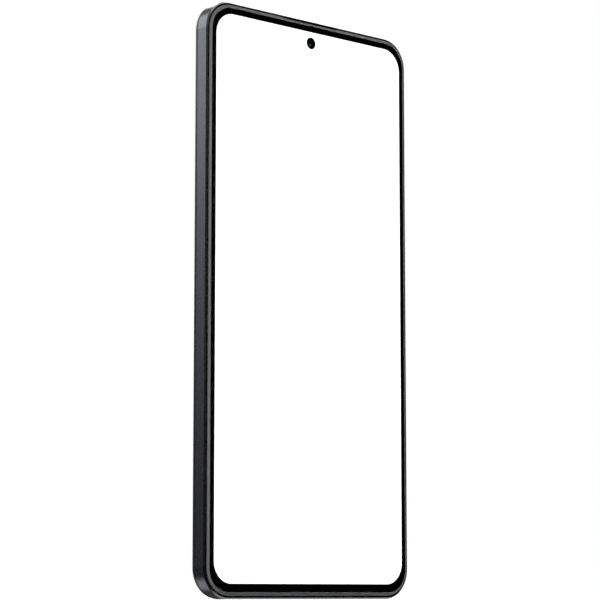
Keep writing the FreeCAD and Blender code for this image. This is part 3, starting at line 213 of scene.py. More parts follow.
def perforated(name, low, high, pitch, bar):
    """A thin sheet of square holes between two corners, which lies across its thinnest side."""
    low, high = Vector(low), Vector(high)
    span = high - low
    thin = min(range(3), key=lambda axis: span[axis])
    across = [axis for axis in range(3) if axis != thin]
    turn = {0: (0, math.pi / 2, 0), 1: (math.pi / 2, 0, 0), 2: (0, 0, 0)}[thin]
    deselect()
    first, second = (across[0], across[1]) if thin != 0 else (2, 1)
    bpy.ops.mesh.primitive_grid_add(
        x_subdivisions=max(2, round(span[first] / pitch)),
        y_subdivisions=max(2, round(span[second] / pitch)),
        size=1,
        location=(low + high) / 2,
        rotation=turn,
    )
    piece = bpy.context.object
    piece.name = name
    piece.scale = (span[first], span[second], 1)
    settle(piece)
    pick_faces(piece, lambda face: True)
    bpy.ops.mesh.inset(thickness=bar / 2, use_individual=True)
    bpy.ops.mesh.delete(type="FACE")
    deselect()
    return use_modifier(piece, "SOLIDIFY", thickness=span[thin], offset=0)


def joined(name, pieces):
    deselect()
    for piece in pieces:
        piece.select_set(True)
    bpy.context.view_layer.objects.active = pieces[0]
    bpy.ops.object.join()
    pieces[0].name = name
    return pieces[0]


def copies(piece, steps):
    """The piece with a copy at each step, as one mesh."""
    made = [piece]
    for step in steps:
        copy = piece.copy()
        copy.data = piece.data.copy()
        bpy.context.scene.collection.objects.link(copy)
        copy.data.transform(Matrix.Translation(step))
        made.append(copy)
    return joined(piece.name, made)


def smooth(piece, degrees=32):
    only(piece)
    bpy.ops.object.shade_smooth_by_angle(angle=math.radians(degrees))
    return piece


def dress(piece, material, body="phone", replaces=()):
    """Smooths a finished piece, gives it its material and its place among the bodies, and hides the nodes it
    stands in for.
    """
    smooth(piece)
    piece.data.materials.clear()
    piece.data.materials.append(material)
    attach(piece, body)
    if replaces:
        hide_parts(*replaces)
    return piece


def centre_of(node):
    low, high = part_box(node)
    return (low + high) / 2


# ---------------------------------------------------------------- effects shared by materials


def socket_kind(value):
    if isinstance(value, (int, float)):
        return "NodeSocketFloat"
    return "NodeSocketColor" if len(value) == 4 else "NodeSocketVector"


def add_node(tree, kind, links=None, **values):
    """Adds a node, sets its own settings and plain inputs, and links the inputs that vary."""
    node = tree.nodes.new(kind)
    for name, value in values.items():
        if hasattr(node, name):
            setattr(node, name, value)
        else:
            node.inputs[name.replace("_", " ")].default_value = value
    for name, socket in (links or {}).items():
        tree.links.new(socket, node.inputs[name])
    return node


class Effect:
    """A shader node group with named inputs and outputs, and the short calls that build it."""

    def __init__(self, name, inputs, outputs):
        self.tree = bpy.data.node_groups.new(name, "ShaderNodeTree")
        for label, value in inputs.items():
            socket = self.tree.interface.new_socket(
                name=label, in_out="INPUT", socket_type=socket_kind(value)
            )
            socket.default_value = value
        for label, kind in outputs.items():
            self.tree.interface.new_socket(name=label, in_out="OUTPUT", socket_type=kind)
        self.given = self.tree.nodes.new("NodeGroupInput").outputs
        self.result = self.tree.nodes.new("NodeGroupOutput")
        self.place = self.node("ShaderNodeTexCoord").outputs["Object"]

    def node(self, kind, links=None, **values):
        return add_node(self.tree, kind, links, **values)

    def math(self, operation, *terms, clamp=False):
        """Arithmetic on sockets and plain numbers."""
        made = self.node("ShaderNodeMath", operation=operation, use_clamp=clamp)
        for slot, term in enumerate(terms):
            if isinstance(term, (int, float)):
                made.inputs[slot].default_value = term
            else:
                self.tree.links.new(term, made.inputs[slot])
        return made.outputs[0]

    def times(self, colour, share):
        made = self.node("ShaderNodeVectorMath", {0: colour, "Scale": share}, operation="SCALE")
        return made.outputs["Vector"]

    def noise(self, size, place=None, **values):
        """Soft noise whose features have the size of that input."""
        scale = self.math("DIVIDE", 1.0, self.given[size])
        made = self.node("ShaderNodeTexNoise", {"Vector": place or self.place, "Scale": scale}, **values)
        return made.outputs["Fac"]

    def cells(self, size, **values):
        """Small cells of the size of that input."""
        scale = self.math("DIVIDE", 1.0, self.given[size])
        return self.node(
            "ShaderNodeTexVoronoi", {"Vector": self.place, "Scale": scale}, feature="F1", **values
        ).outputs

    def uneven(self, signed):
        """The Roughness input, moved up and down by the Spread input."""
        return self.math("ADD", self.math("MULTIPLY", signed, self.given["Spread"]), self.given["Roughness"],
                         clamp=True)

    def put(self, **sockets):
        for label, socket in sockets.items():
            self.tree.links.new(socket, self.result.inputs[label])
        return self.tree


def make_grain():
    """Fine uneven tone, roughness and relief, as on painted, moulded or blasted surfaces."""
    effect = Effect(
        "fine grain",
        {
            "Colour": (0.5, 0.5, 0.5, 1.0), "Tone": 0.1, "Size": 0.4 * MM, "Roughness": 0.5, "Spread": 0.1,
            "Patch size": 30 * MM,
        },
        {"Colour": "NodeSocketColor", "Roughness": "NodeSocketFloat", "Height": "NodeSocketFloat"},
    )
    fine = effect.noise("Size", Detail=3.0, Roughness=0.6)
    patch = effect.noise("Patch size", Detail=4.0, Roughness=0.55)
    both = effect.node("ShaderNodeMix", {"A": fine, "B": patch}, data_type="FLOAT", Factor=0.5)
    signed = effect.math("SUBTRACT", both.outputs["Result"], 0.5)
    lift = effect.math("MULTIPLY", signed, effect.given["Tone"])
    contrast = 4.0
    gain = effect.math("MULTIPLY_ADD", lift, contrast, 1.0)
    return effect.put(
        Colour=effect.times(effect.given["Colour"], gain), Roughness=effect.uneven(signed), Height=fine
    )


def make_flakes():
    """Small bright platelets under a clear finish, as in metallic paint or anodising."""
    effect = Effect(
        "flakes",
        {"Colour": (0.5, 0.5, 0.5, 1.0), "Size": 0.2 * MM, "Gain": 0.4},
        {"Colour": "NodeSocketColor", "Height": "NodeSocketFloat"},
    )
    spread = effect.node("ShaderNodeSeparateColor", {"Color": effect.cells("Size")["Color"]}).outputs
    rarity = 4.0
    sharp = effect.math("POWER", spread["Red"], rarity)
    gain = effect.math("ADD", effect.math("MULTIPLY", sharp, effect.given["Gain"]), 1.0)
    return effect.put(Colour=effect.times(effect.given["Colour"], gain), Height=spread["Green"])


def make_hairlines():
    """Fine parallel lines from brushing, rolling or turning, stretched by a direction."""
    effect = Effect(
        "hairlines",
        {"Direction": (1.0, 1.0, 1.0), "Pitch": 0.1 * MM, "Roughness": 0.3, "Spread": 0.15},
        {"Roughness": "NodeSocketFloat", "Height": "NodeSocketFloat"},
    )
    stretch = effect.node(
        "ShaderNodeVectorMath", {0: effect.place, 1: effect.given["Direction"]}, operation="MULTIPLY"
    )
    lines = effect.noise("Pitch", stretch.outputs["Vector"], Detail=2.0)
    return effect.put(Roughness=effect.uneven(effect.math("SUBTRACT", lines, 0.5)), Height=lines)


def make_smudges():
    """Faint prints and dust on a polished surface, as uneven roughness."""
    effect = Effect(
        "smudges",
        {"Size": 20 * MM, "Clean": 0.03, "Marked": 0.12},
        {"Roughness": "NodeSocketFloat", "Mask": "NodeSocketFloat"},
    )
    cloud = effect.noise("Size", Detail=6.0, Roughness=0.65)
    mask = effect.node("ShaderNodeMapRange", {"Value": cloud}, From_Min=0.5, From_Max=0.75).outputs["Result"]
    rough = effect.node(
        "ShaderNodeMix",
        {"Factor": mask, "A": effect.given["Clean"], "B": effect.given["Marked"]},
        data_type="FLOAT",
    )
    return effect.put(Roughness=rough.outputs["Result"], Mask=mask)


def make_lanes():
    """Narrow lanes with rounded turns, as copper tracks under a board's mask or printed on a flex."""
    effect = Effect("copper lanes", {"Pitch": 1 * MM, "Width": 0.25}, {"Mask": "NodeSocketFloat"})
    cells = effect.cells("Pitch", distance="CHEBYCHEV")
    half_step = 0.18
    rings = effect.math("PINGPONG", cells["Distance"], half_step)
    shares = effect.math("DIVIDE", rings, half_step)
    return effect.put(Mask=effect.math("LESS_THAN", shares, effect.given["Width"]))


GRAIN = make_grain()
FLAKES = make_flakes()
HAIRLINES = make_hairlines()
SMUDGES = make_smudges()
LANES = make_lanes()


# ---------------------------------------------------------------- materials


class Finish:
    """A material with one Principled shader and short calls to place effects in it."""

    def __init__(self, name, **values):
        self.material = bpy.data.materials.new(name)
        self.material.use_nodes = True
        self.tree = self.material.node_tree
        self.shader = next(n for n in self.tree.nodes if n.type == "BSDF_PRINCIPLED")
        for label, value in values.items():
            self.shader.inputs[label.replace("_", " ")].default_value = value

    def effect(self, tree, links=None, **values):
        return self.node("ShaderNodeGroup", links, node_tree=tree, **values).outputs

    def node(self, kind, links=None, **values):
        return add_node(self.tree, kind, links, **values)

    def feed(self, **sockets):
        for label, socket in sockets.items():
            self.tree.links.new(socket, self.shader.inputs[label.replace("_", " ")])
        return self

    def relief(self, height, depth):
        """A bump of that depth in metres."""
        bump = self.node("ShaderNodeBump", {"Height": height}, Strength=1.0, Distance=depth)
        self.feed(Normal=bump.outputs["Normal"])


def rgb(red, green, blue):
    return (red, green, blue, 1.0)


def painted_metal(name, colour, roughness, flake_gain=0.5, metallic=0.85, coat=0.0):
    """Satin metallic finish: flakes under a slightly uneven top."""
    finish = Finish(name, Metallic=metallic, Coat_Weight=coat, Coat_Roughness=0.15)
    flakes = finish.effect(FLAKES, Colour=colour, Size=40 * MICRON, Gain=flake_gain)
    grain = finish.effect(
        GRAIN, {"Colour": flakes["Colour"]}, Tone=0.06, Size=0.35 * MM, Roughness=roughness, Spread=0.12,
        Patch_size=40 * MM,
    )
    finish.feed(Base_Color=grain["Colour"], Roughness=grain["Roughness"])
    finish.relief(grain["Height"], 0.8 * MICRON)
    return finish.material


def bare_metal(name, colour, roughness, direction, pitch=0.12 * MM, tone=0.08):
    """Rolled, brushed or turned metal with lines along one direction."""
    finish = Finish(name, Metallic=1.0)
    lines = finish.effect(HAIRLINES, Direction=direction, Pitch=pitch, Roughness=roughness, Spread=0.25)
    grain = finish.effect(GRAIN, Colour=colour, Tone=tone, Size=0.6 * MM, Roughness=roughness, Spread=0.1)
    finish.feed(Base_Color=grain["Colour"], Roughness=lines["Roughness"])
    finish.relief(lines["Height"], 2 * MICRON)
    return finish.material


def moulded(name, colour, roughness, size=0.25 * MM, tone=0.08, depth=4 * MICRON, specular=0.5):
    """Moulded plastic or rubber with a fine spark-eroded grain."""
    finish = Finish(name, Specular_IOR_Level=specular)
    grain = finish.effect(GRAIN, Colour=colour, Tone=tone, Size=size, Roughness=roughness, Spread=0.15)
    finish.feed(Base_Color=grain["Colour"], Roughness=grain["Roughness"])
    finish.relief(grain["Height"], depth)
    return finish.material


def polished(name, colour, clean=0.04, marked=0.14, coat=0.6):
    """Opaque polished surface with a clear coat and faint prints."""
    finish = Finish(name, Coat_Weight=coat, Coat_Roughness=0.04)
    marks = finish.effect(SMUDGES, Size=15 * MM, Clean=clean, Marked=marked)
    grain = finish.effect(GRAIN, Colour=colour, Tone=0.05, Size=0.8 * MM, Roughness=clean, Spread=0.02)
    finish.feed(Base_Color=grain["Colour"], Roughness=marks["Roughness"])
    return finish.material


def clear_glass(name, tint, roughness=0.0, ior=1.5):
    """Clear glass with faint prints that catch the light."""
    finish = Finish(name, Transmission_Weight=1.0, IOR=ior, Metallic=0.0)
    marks = finish.effect(SMUDGES, Size=20 * MM, Clean=roughness, Marked=roughness + 0.012)
    grain = finish.effect(GRAIN, Colour=tint, Tone=0.004, Size=4 * MM, Roughness=roughness, Spread=0.0)
    finish.feed(Base_Color=grain["Colour"], Roughness=marks["Roughness"])
    return finish.material


def lit_panel(name):
    """The lit screen: white, with the panel's own fine grid of dots."""
    finish = Finish(name, Roughness=0.35, Emission_Strength=1.35)
    dot_pitch = MM / 15.5
    place = finish.node("ShaderNodeTexCoord").outputs["Object"]
    grid = finish.node(
        "ShaderNodeTexVoronoi", {"Vector": place}, feature="F1", distance="CHEBYCHEV", Scale=1 / dot_pitch,
        Randomness=0.0,
    )
    tone = finish.node(
        "ShaderNodeMapRange", {"Value": grid.outputs["Distance"]}, From_Max=0.5, To_Min=1.0, To_Max=0.9
    )
    colour = finish.node("ShaderNodeCombineColor", {i: tone.outputs["Result"] for i in range(3)})
    finish.feed(Base_Color=colour.outputs["Color"], Emission_Color=colour.outputs["Color"])
    return finish.material


def masked_board(name, mask_colour, copper_tone):
    """Circuit board: copper lanes showing through the solder mask."""
    finish = Finish(name, Coat_Weight=0.4, Coat_Roughness=0.2)
    lanes = finish.effect(LANES, Pitch=3.2 * MM, Width=0.35)
    colour = finish.node(
        "ShaderNodeMix", {"Factor": lanes["Mask"]}, data_type="RGBA", A=mask_colour, B=copper_tone
    )
    grain = finish.effect(
        GRAIN, {"Colour": colour.outputs["Result"]}, Tone=0.06, Size=0.4 * MM, Roughness=0.4
    )
    finish.feed(Base_Color=grain["Colour"], Roughness=grain["Roughness"])
    finish.relief(lanes["Mask"], 20 * MICRON)
    return finish.material


def woven_mesh(name, colour):
    """Fine wire cloth."""
    finish = Finish(name, Metallic=0.9)
    lines = finish.effect(HAIRLINES, Direction=(1, 1, 1), Pitch=0.08 * MM, Roughness=0.4, Spread=0.3)
    grain = finish.effect(GRAIN, Colour=colour, Tone=0.1, Size=0.2 * MM, Roughness=0.4)
    finish.feed(Base_Color=grain["Colour"], Roughness=lines["Roughness"])
    finish.relief(lines["Height"], 4 * MICRON)
    return finish.material


def coated_lens(name, body_colour, bloom):
    """Lens element: near black with a thin anti-reflection bloom that shifts with the angle."""
    finish = Finish(name, Coat_Weight=1.0, Coat_Roughness=0.0, Thin_Film_Thickness=430.0, IOR=1.6)
    slant = finish.node("ShaderNodeLayerWeight", Blend=0.35).outputs["Facing"]
    colour = finish.node("ShaderNodeMix", {"Factor": slant}, data_type="RGBA", A=body_colour, B=bloom)
    marks = finish.effect(SMUDGES, Size=4 * MM, Clean=0.01, Marked=0.03)
    finish.feed(Base_Color=colour.outputs["Result"], Roughness=marks["Roughness"])
    return finish.material


def diffuser(name, colour):
    """Cloudy clear plastic over a flash."""
    finish = Finish(name, Transmission_Weight=0.55, IOR=1.49)
    grain = finish.effect(GRAIN, Colour=colour, Tone=0.03, Size=0.3 * MM, Roughness=0.25, Spread=0.1)
    finish.feed(Base_Color=grain["Colour"], Roughness=grain["Roughness"])
    finish.relief(grain["Height"], 10 * MICRON)
    return finish.material


# Finishes of the pieces made here.
print_black = moulded(
    "border print", rgb(0.0015, 0.0015, 0.0015), 0.6, tone=0.03, depth=0.3 * MICRON, specular=0.0
)
lens_black = moulded("lens baffle black", rgb(0.01, 0.01, 0.011), 0.55, size=0.12 * MM)
lens_bloom = coated_lens("coated lens", rgb(0.004, 0.005, 0.009), rgb(0.03, 0.10, 0.085))
gold = bare_metal("plated contacts", rgb(0.83, 0.62, 0.28), 0.2, (1, 1, 0.05))

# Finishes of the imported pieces, and of pieces here that share one.
SLOT_FINISH = {
    "frame_metal": painted_metal("satin frame", rgb(0.132, 0.135, 0.146), 0.27, metallic=0.95),
    "key_metal": painted_metal("satin keys", rgb(0.14, 0.136, 0.147), 0.25, metallic=0.95),
    "tray": painted_metal("satin tray", rgb(0.132, 0.135, 0.146), 0.27, metallic=0.95),
    "deck_metal": bare_metal("cast deck", rgb(0.42, 0.42, 0.43), 0.42, (1, 1, 1)),
    "back_cover": painted_metal("rear cover paint", rgb(0.10, 0.10, 0.112), 0.3, 0.7, 0.8, 0.5),
    "camera_plate": polished("camera plate gloss", rgb(0.012, 0.013, 0.016)),
    "lens_metal": bare_metal("turned lens metal", rgb(0.16, 0.165, 0.18), 0.28, (1, 0.02, 1)),
    "lens_glass": clear_glass("lens window glass", rgb(0.93, 0.95, 0.97)),
    "flash_glass": diffuser("flash diffuser", rgb(0.92, 0.90, 0.80)),
    "flash_led": moulded("phosphor", rgb(0.80, 0.62, 0.10), 0.6, size=0.1 * MM),
    "cover_glass": clear_glass("screen glass", rgb(1.0, 1.0, 1.0)),
    "rim": moulded("rim plastic", rgb(0.32, 0.315, 0.315), 0.45, specular=0.3),
    "screen": lit_panel("lit screen"),
    "foil": bare_metal("backing foil", rgb(0.30, 0.30, 0.31), 0.4, (1, 1, 0.1)),
    "black_foam": moulded("foam tape", rgb(0.02, 0.02, 0.02), 0.9, size=0.3 * MM, depth=30 * MICRON),
    "flex": masked_board("flex film", rgb(0.42, 0.17, 0.03), rgb(0.60, 0.30, 0.08)),
    "sensor": polished("sensor package", rgb(0.02, 0.02, 0.025)),
    "board": masked_board("solder mask", rgb(0.008, 0.045, 0.032), rgb(0.02, 0.085, 0.055)),
    "chip": moulded("chip package", rgb(0.035, 0.035, 0.038), 0.5, size=0.1 * MM),
    "tin": bare_metal("shield can", rgb(0.66, 0.65, 0.60), 0.32, (1, 1, 0.04)),
    "steel": bare_metal("stamped steel", rgb(0.58, 0.58, 0.59), 0.25, (1, 1, 0.03)),
    "tungsten": bare_metal("sintered weight", rgb(0.30, 0.30, 0.32), 0.45, (1, 1, 1)),
    "graphite": moulded("graphite film", rgb(0.05, 0.05, 0.055), 0.4, size=0.5 * MM),
    "copper": bare_metal("etched copper", rgb(0.72, 0.36, 0.20), 0.3, (1, 1, 0.2)),
    "battery": moulded("battery wrap", rgb(0.03, 0.03, 0.034), 0.42, size=1.2 * MM, depth=10 * MICRON),
    "tab": moulded("stretch tape", rgb(0.75, 0.76, 0.80), 0.5),
    "cable": moulded("cable jacket", rgb(0.03, 0.03, 0.034), 0.5),
    "black_plastic": moulded("black plastic", rgb(0.022, 0.022, 0.025), 0.55),
    "mesh": woven_mesh("mesh wire", rgb(0.05, 0.05, 0.055)),
    "tongue": moulded("connector plastic", rgb(0.02, 0.02, 0.022), 0.5),
    "seal": moulded("seal rubber", rgb(0.03, 0.03, 0.032), 0.75),
    "camera": moulded("camera housing", rgb(0.02, 0.02, 0.022), 0.5),
}


def finish_nodes():
    """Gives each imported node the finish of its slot."""
    slots = {row["node"]: row["material_slot"] for row in frame["record"]["subparts"]}
    for name, node in frame["nodes"].items():
        node.data.materials.clear()
        node.data.materials.append(SLOT_FINISH[slots[name]])


# ---------------------------------------------------------------- screen


def build_screen():
    """Cover glass with a rounded edge, the black print under it and the hole for the front camera."""
    glass_low, glass_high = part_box("cover_glass")
    panel_low, panel_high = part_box("display_panel")
    corner, active_corner = 6.7 * MM, 6.0 * MM
    print_depth, edge_round, edge = 0.04 * MM, 0.42 * MM, 0.02 * MM
    border = 0.4 * MM  # how far the print laps over the panel
    hole_inner, hole_outer = 0.98 * MM, 1.68 * MM
    glass_back = glass_high.y - print_depth
    print_front, print_back = glass_back + LAYER_GAP, glass_high.y - LAYER_GAP

    glass = plate(
        "front_glass", glass_low, (glass_high.x, glass_back, glass_high.z), corner, segments=32
    )
    round_front(glass, edge_round, segments=8)
    dress(glass, SLOT_FINISH["cover_glass"], replaces=["cover_glass"])

    sheet = plate(
        "border_print",
        (glass_low.x + edge, print_front, glass_low.z + edge),
        (glass_high.x - edge, print_back, glass_high.z - edge),
        corner - edge,
        segments=32,
    )
    window = plate(
        "window",
        (panel_low.x + border, print_front - MM, panel_low.z + border),
        (panel_high.x - border, print_back + MM, panel_high.z - border),
        active_corner,
        segments=32,
    )
    use_modifier(sheet, "BOOLEAN", object=window, operation="DIFFERENCE", solver="EXACT")
    bpy.data.objects.remove(window)
    hole = centre_of("front_camera")
    ring = washer("hole_print", (hole.x, hole.z), hole_inner, hole_outer, print_front, print_back)
    dress(joined("border_print", [sheet, ring]), print_black)


def build_front_camera():
    """The small lens behind the hole: a stepped black barrel with a coated glass in it."""
    low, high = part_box("front_camera")
    place = ((low.x + high.x) / 2, (low.z + high.z) / 2)
    top = low.y
    body_front, round_off = 1.2 * MM, 0.25 * MM
    body = block("front_camera_body", (low.x, top + body_front, low.z), high, round_off)
    profile = [
        (1.33, 1.3), (1.33, 0.05), (1.28, 0.0), (1.02, 0.0), (0.98, 0.12), (0.86, 0.14), (0.82, 0.3),
        (0.7, 0.32), (0.66, 0.6), (0.4, 0.9), (0.4, 1.3), (1.33, 1.3),
    ]
    outline = [(radius * MM, top + depth * MM) for radius, depth in profile]
    barrel = turned("front_camera_barrel", place, outline, hollow=True)
    dress(joined("front_camera_body", [body, barrel]), lens_black, replaces=["front_camera"])
    lens_depth, lens_radius, lens_rise = 0.24 * MM, 0.8 * MM, 0.16 * MM
    lens = dome("front_camera_lens", place, top + lens_depth, lens_radius, lens_rise)
    dress(lens, lens_bloom)


def dome(name, place, edge_y, radius, rise, toward=-1, steps=9):
    """A lens element that bulges towards -Y, or +Y where toward is 1, over a flat back."""
    ball = (radius**2 + rise**2) / (2 * rise)
    rim, taper = 0.12 * MM, 0.999
    outline = [(radius * taper, edge_y - toward * rim), (radius, edge_y)]
    for step in range(1, steps):
        r = radius * math.cos(step / steps * math.pi / 2)
        lift = math.sqrt(ball**2 - r**2) - (ball - rise)
        outline.append((r, edge_y + toward * lift))
    return turned(name, place, outline)


def build_meshes():
    """Perforated sheets behind the earpiece slit and the loudspeaker holes."""
    for node, name, pitch, bar in (
        ("earpiece_mesh", "earpiece_grille", 0.2 * MM, 0.07 * MM),
        ("speaker_mesh", "speaker_grille", 0.25 * MM, 0.1 * MM),
    ):
        low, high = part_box(node)
        dress(perforated(name, low, high, pitch, bar), SLOT_FINISH["mesh"], replaces=[node])


# ---------------------------------------------------------------- charging port


def build_port():
    """Tongue of the charging port with its plated contacts."""
    low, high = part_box("usb_tongue")
    tongue = block("port_tongue", low, high, 0.12 * MM)
    dress(tongue, SLOT_FINISH["tongue"], replaces=["usb_tongue"])
    contacts, pitch, wide, proud = 12, 0.5 * MM, 0.26 * MM, 0.015 * MM
    tip, root, round_off = 0.5 * MM, 4.6 * MM, 0.012 * MM
    first = (low.x + high.x) / 2 - (contacts - 1) / 2 * pitch
    pads = [
        block(
            "port_contacts",
            (first - wide / 2, face - proud, low.z + tip),
            (first + wide / 2, face + proud, low.z + root),
            round_off,
            segments=2,
        )
        for face in (low.y, high.y)
    ]
    steps = [Vector((pitch * n, 0, 0)) for n in range(1, contacts)]
    dress(copies(joined("port_contacts", pads), steps), gold)


# ---------------------------------------------------------------- rear cameras


def build_barrel(name, ring, top_y, low_y, radius, body, replaces):
    """A turned lens barrel with a stepped funnel, and the coated glass in it. It looks out of the back."""
    centre = centre_of(ring)
    place = (centre.x, centre.z)
    funnel = [
        (0.965, 0.0), (0.86, 0.0), (0.85, 0.16), (0.76, 0.17), (0.75, 0.34), (0.66, 0.35), (0.65, 0.62),
        (0.57, 0.66), (0.50, 1.4), (0.36, 1.45),
    ]
    chamfer, bore, bore_lip = 0.15 * MM, 0.30, 0.05 * MM
    outline = [(radius, low_y), (radius, top_y - chamfer)]
    outline += [(radius * share, top_y - depth * MM) for share, depth in funnel]
    outline += [(radius * bore, low_y + bore_lip), (radius * bore, low_y), (radius, low_y)]
    barrel = turned(name, place, outline, segments=96, hollow=True)
    dress(barrel, lens_black, body, replaces)
    glass_depth, glass_share, rise_share = 0.85 * MM, 0.55, 0.42 / 4.4
    glass = dome(
        f"{name}_glass", place, top_y - glass_depth, glass_share * radius, rise_share * radius, toward=1
    )
    dress(glass, lens_bloom, body)


def build_window_print(name, ring, inner_share):
    """The black ring printed under a lens window."""
    low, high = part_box(ring)
    window_depth, ring_wall, thin = 0.65 * MM, 1.82 * MM, 0.04 * MM
    window_low = high.y - window_depth
    radius = (high.x - low.x) / 2 - ring_wall
    centre = centre_of(ring)
    band = washer(
        name, (centre.x, centre.z), radius * inner_share, radius, window_low - LAYER_GAP, window_low - thin,
        segments=96,
    )
    dress(band, print_black)


def build_rear_cameras():
    """Barrels, printed rings and module housings behind the three rear windows."""
    low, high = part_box("main_lens_barrel")
    build_barrel(
        "main_barrel", "main_lens_ring", high.y, low.y, (high.x - low.x) / 2, "focus_barrel",
        ["main_lens_barrel"],
    )
    housing_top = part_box("main_camera")[1].y
    round_off, sunk = 0.35 * MM, 0.2 * MM
    for kind, ring, wall in (("wide", "wide_lens_ring", 3.1 * MM), ("macro", "macro_lens_ring", 2.7 * MM)):
        node = f"{kind}_camera"
        low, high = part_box(node)
        ring_low, ring_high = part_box(ring)
        housing = block(f"{node}_body", low, (high.x, housing_top, high.z), round_off)
        dress(housing, SLOT_FINISH["camera"], replaces=[node])
        radius = (ring_high.x - ring_low.x) / 2 - wall
        build_barrel(f"{kind}_barrel", ring, high.y, housing_top - sunk, radius, "phone", ())
    for kind, inner_share in (("main", 0.72), ("wide", 0.66), ("macro", 0.56)):
        build_window_print(f"{kind}_window_print", f"{kind}_lens_ring", inner_share)


def build_flash():
    """Flash lens with rings cut in its face."""
    low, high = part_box("flash_lens")
    centre = centre_of("flash_lens")
    radius, flange_radius, flange, chamfer = 3.0 * MM, (high.x - low.x) / 2, 0.4 * MM, 0.12 * MM
    outline = [
        (flange_radius, low.y), (flange_radius, low.y + flange), (radius, low.y + flange),
        (radius, high.y - chamfer), (radius - chamfer, high.y),
    ]
    rings, ring_width, first_ring = 9, 0.24 * MM, 2.5 * MM
    wall, deep, shallow = 0.02 * MM, 0.14 * MM, 0.02 * MM
    for ring in range(rings):
        outer = first_ring - ring * ring_width
        outline += [(outer, high.y), (outer - wall, high.y - deep), (outer - ring_width, high.y - shallow)]
    lens = turned("flash_diffuser", (centre.x, centre.z), outline, segments=96)
    dress(lens, SLOT_FINISH["flash_glass"], replaces=["flash_lens"])


# ---------------------------------------------------------------- camera, light and floor


FOCAL_LENGTH, SENSOR_WIDTH = 131.94, 36.0  # mm
EYE = (-0.40888, -0.44899, 0.0015)
TURN, TILT = 0.73661, 0.13271  # radians, from +Y towards +X and up


def build_camera():
    data = bpy.data.cameras.new("camera")
    camera = bpy.data.objects.new("camera", data)
    bpy.context.scene.collection.objects.link(camera)
    data.lens = FOCAL_LENGTH
    data.sensor_width = SENSOR_WIDTH
    data.clip_start, data.clip_end = 0.05, 20.0
    camera.location = EYE
    look = Vector((math.sin(TURN) * math.cos(TILT), math.cos(TURN) * math.cos(TILT), math.sin(TILT)))
    camera.rotation_mode = "QUATERNION"
    camera.rotation_quaternion = look.to_track_quat("-Z", "Y")
    bpy.context.scene.camera = camera


# A soft light fills the part of the studio within "full" degrees of its direction and fades out at "edge".
SOFT_LIGHTS = [
    {"way": (-0.548, 0.609, 0.59), "full": 19, "edge": 28.5, "colour": (0.95, 0.965, 1.0), "strength": 2.15},
    {"way": (0.669, 0.534, 0.58), "full": 12, "edge": 28, "colour": (1.0, 0.99, 0.97), "strength": 5.0},
    {"way": (0.0, 0.1, 1.0), "full": 15, "edge": 40, "colour": (1.0, 1.0, 1.0), "strength": 2.0},
    {"way": (-0.78, -0.28, 0.56), "full": 6, "edge": 26, "colour": (0.95, 0.97, 1.0), "strength": 0.42},
    {"way": (0.1, 0.92, 0.36), "full": 4, "edge": 18, "colour": (0.97, 0.98, 1.0), "strength": 1.2},
    {"way": (0.5, 0.0, -0.85), "full": 15, "edge": 52, "colour": (1.0, 1.0, 1.0), "strength": 1.4},
    {"way": (-0.27, 0.74, -0.61), "full": 5, "edge": 20, "colour": (1.0, 1.0, 1.0), "strength": 1.1},
    {"way": (0.0, 1.0, 0.2), "full": 30, "edge": 95, "colour": (0.98, 0.98, 1.0), "strength": 0.05},
]
DIM_ROOM = (0.004, 0.004, 0.004)


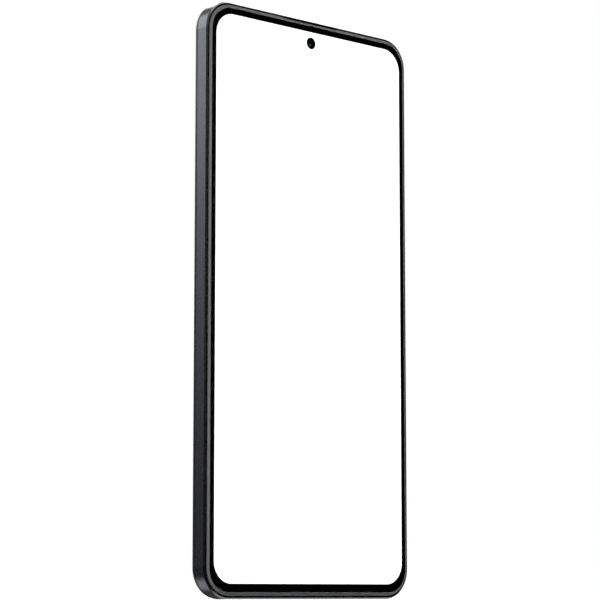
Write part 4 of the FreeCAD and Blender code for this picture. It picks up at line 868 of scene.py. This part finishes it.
def build_light():
    """A white room for the camera; everything else sees a dim room with soft lights in it."""
    world = bpy.data.worlds.new("studio")
    bpy.context.scene.world = world
    world.use_nodes = True
    tree = world.node_tree
    tree.nodes.clear()
    way = add_node(tree, "ShaderNodeTexCoord").outputs["Generated"]
    total = None
    for row in SOFT_LIGHTS:
        aim = add_node(tree, "ShaderNodeVectorMath", {0: way}, operation="DOT_PRODUCT")
        aim.inputs[1].default_value = Vector(row["way"]).normalized()
        fall = add_node(
            tree,
            "ShaderNodeMapRange",
            {"Value": aim.outputs["Value"]},
            interpolation_type="SMOOTHSTEP",
            From_Min=math.cos(math.radians(row["edge"])),
            From_Max=math.cos(math.radians(row["full"])),
            To_Max=row["strength"],
        )
        tint = add_node(
            tree, "ShaderNodeVectorMath", {0: fall.outputs["Result"]}, operation="MULTIPLY_ADD"
        )
        tint.inputs[1].default_value = row["colour"]
        tint.inputs[2].default_value = DIM_ROOM
        if total:
            tree.links.new(total, tint.inputs[2])
        total = tint.outputs["Vector"]
    lit = add_node(tree, "ShaderNodeBackground", {"Color": total})
    white = add_node(tree, "ShaderNodeBackground", Color=rgb(1.0, 1.0, 1.0))
    seen = add_node(tree, "ShaderNodeLightPath").outputs["Is Camera Ray"]
    chosen = add_node(
        tree, "ShaderNodeMixShader", {"Fac": seen, 1: lit.outputs[0], 2: white.outputs[0]}
    )
    add_node(tree, "ShaderNodeOutputWorld", {"Surface": chosen.outputs[0]})


def build_floor():
    """A pale floor that looks white to the camera and throws no light back in a reflection."""
    span, glow_strength = 6.0, 0.55
    deselect()
    bpy.ops.mesh.primitive_plane_add(size=span, location=(0, 0, cad_low.z))
    floor = bpy.context.object
    floor.name = "floor"
    settle(floor)
    finish = Finish("pale floor", Specular_IOR_Level=0.0)
    grain = finish.effect(
        GRAIN, Colour=rgb(0.86, 0.86, 0.86), Tone=0.01, Size=2 * MM, Roughness=0.8, Patch_size=500 * MM
    )
    seen = finish.node("ShaderNodeLightPath").outputs["Is Camera Ray"]
    glow = finish.node("ShaderNodeMath", {0: seen}, operation="MULTIPLY")
    glow.inputs[1].default_value = glow_strength
    finish.feed(
        Base_Color=grain["Colour"], Roughness=grain["Roughness"], Emission_Color=grain["Colour"],
        Emission_Strength=glow.outputs[0],
    )
    floor.data.materials.append(finish.material)
    floor.visible_glossy = False


bpy.context.scene.view_settings.view_transform = "Standard"
build_camera()
build_light()
build_floor()
finish_nodes()
build_screen()
build_front_camera()
build_meshes()
build_port()
build_rear_cameras()
build_flash()

deselect()
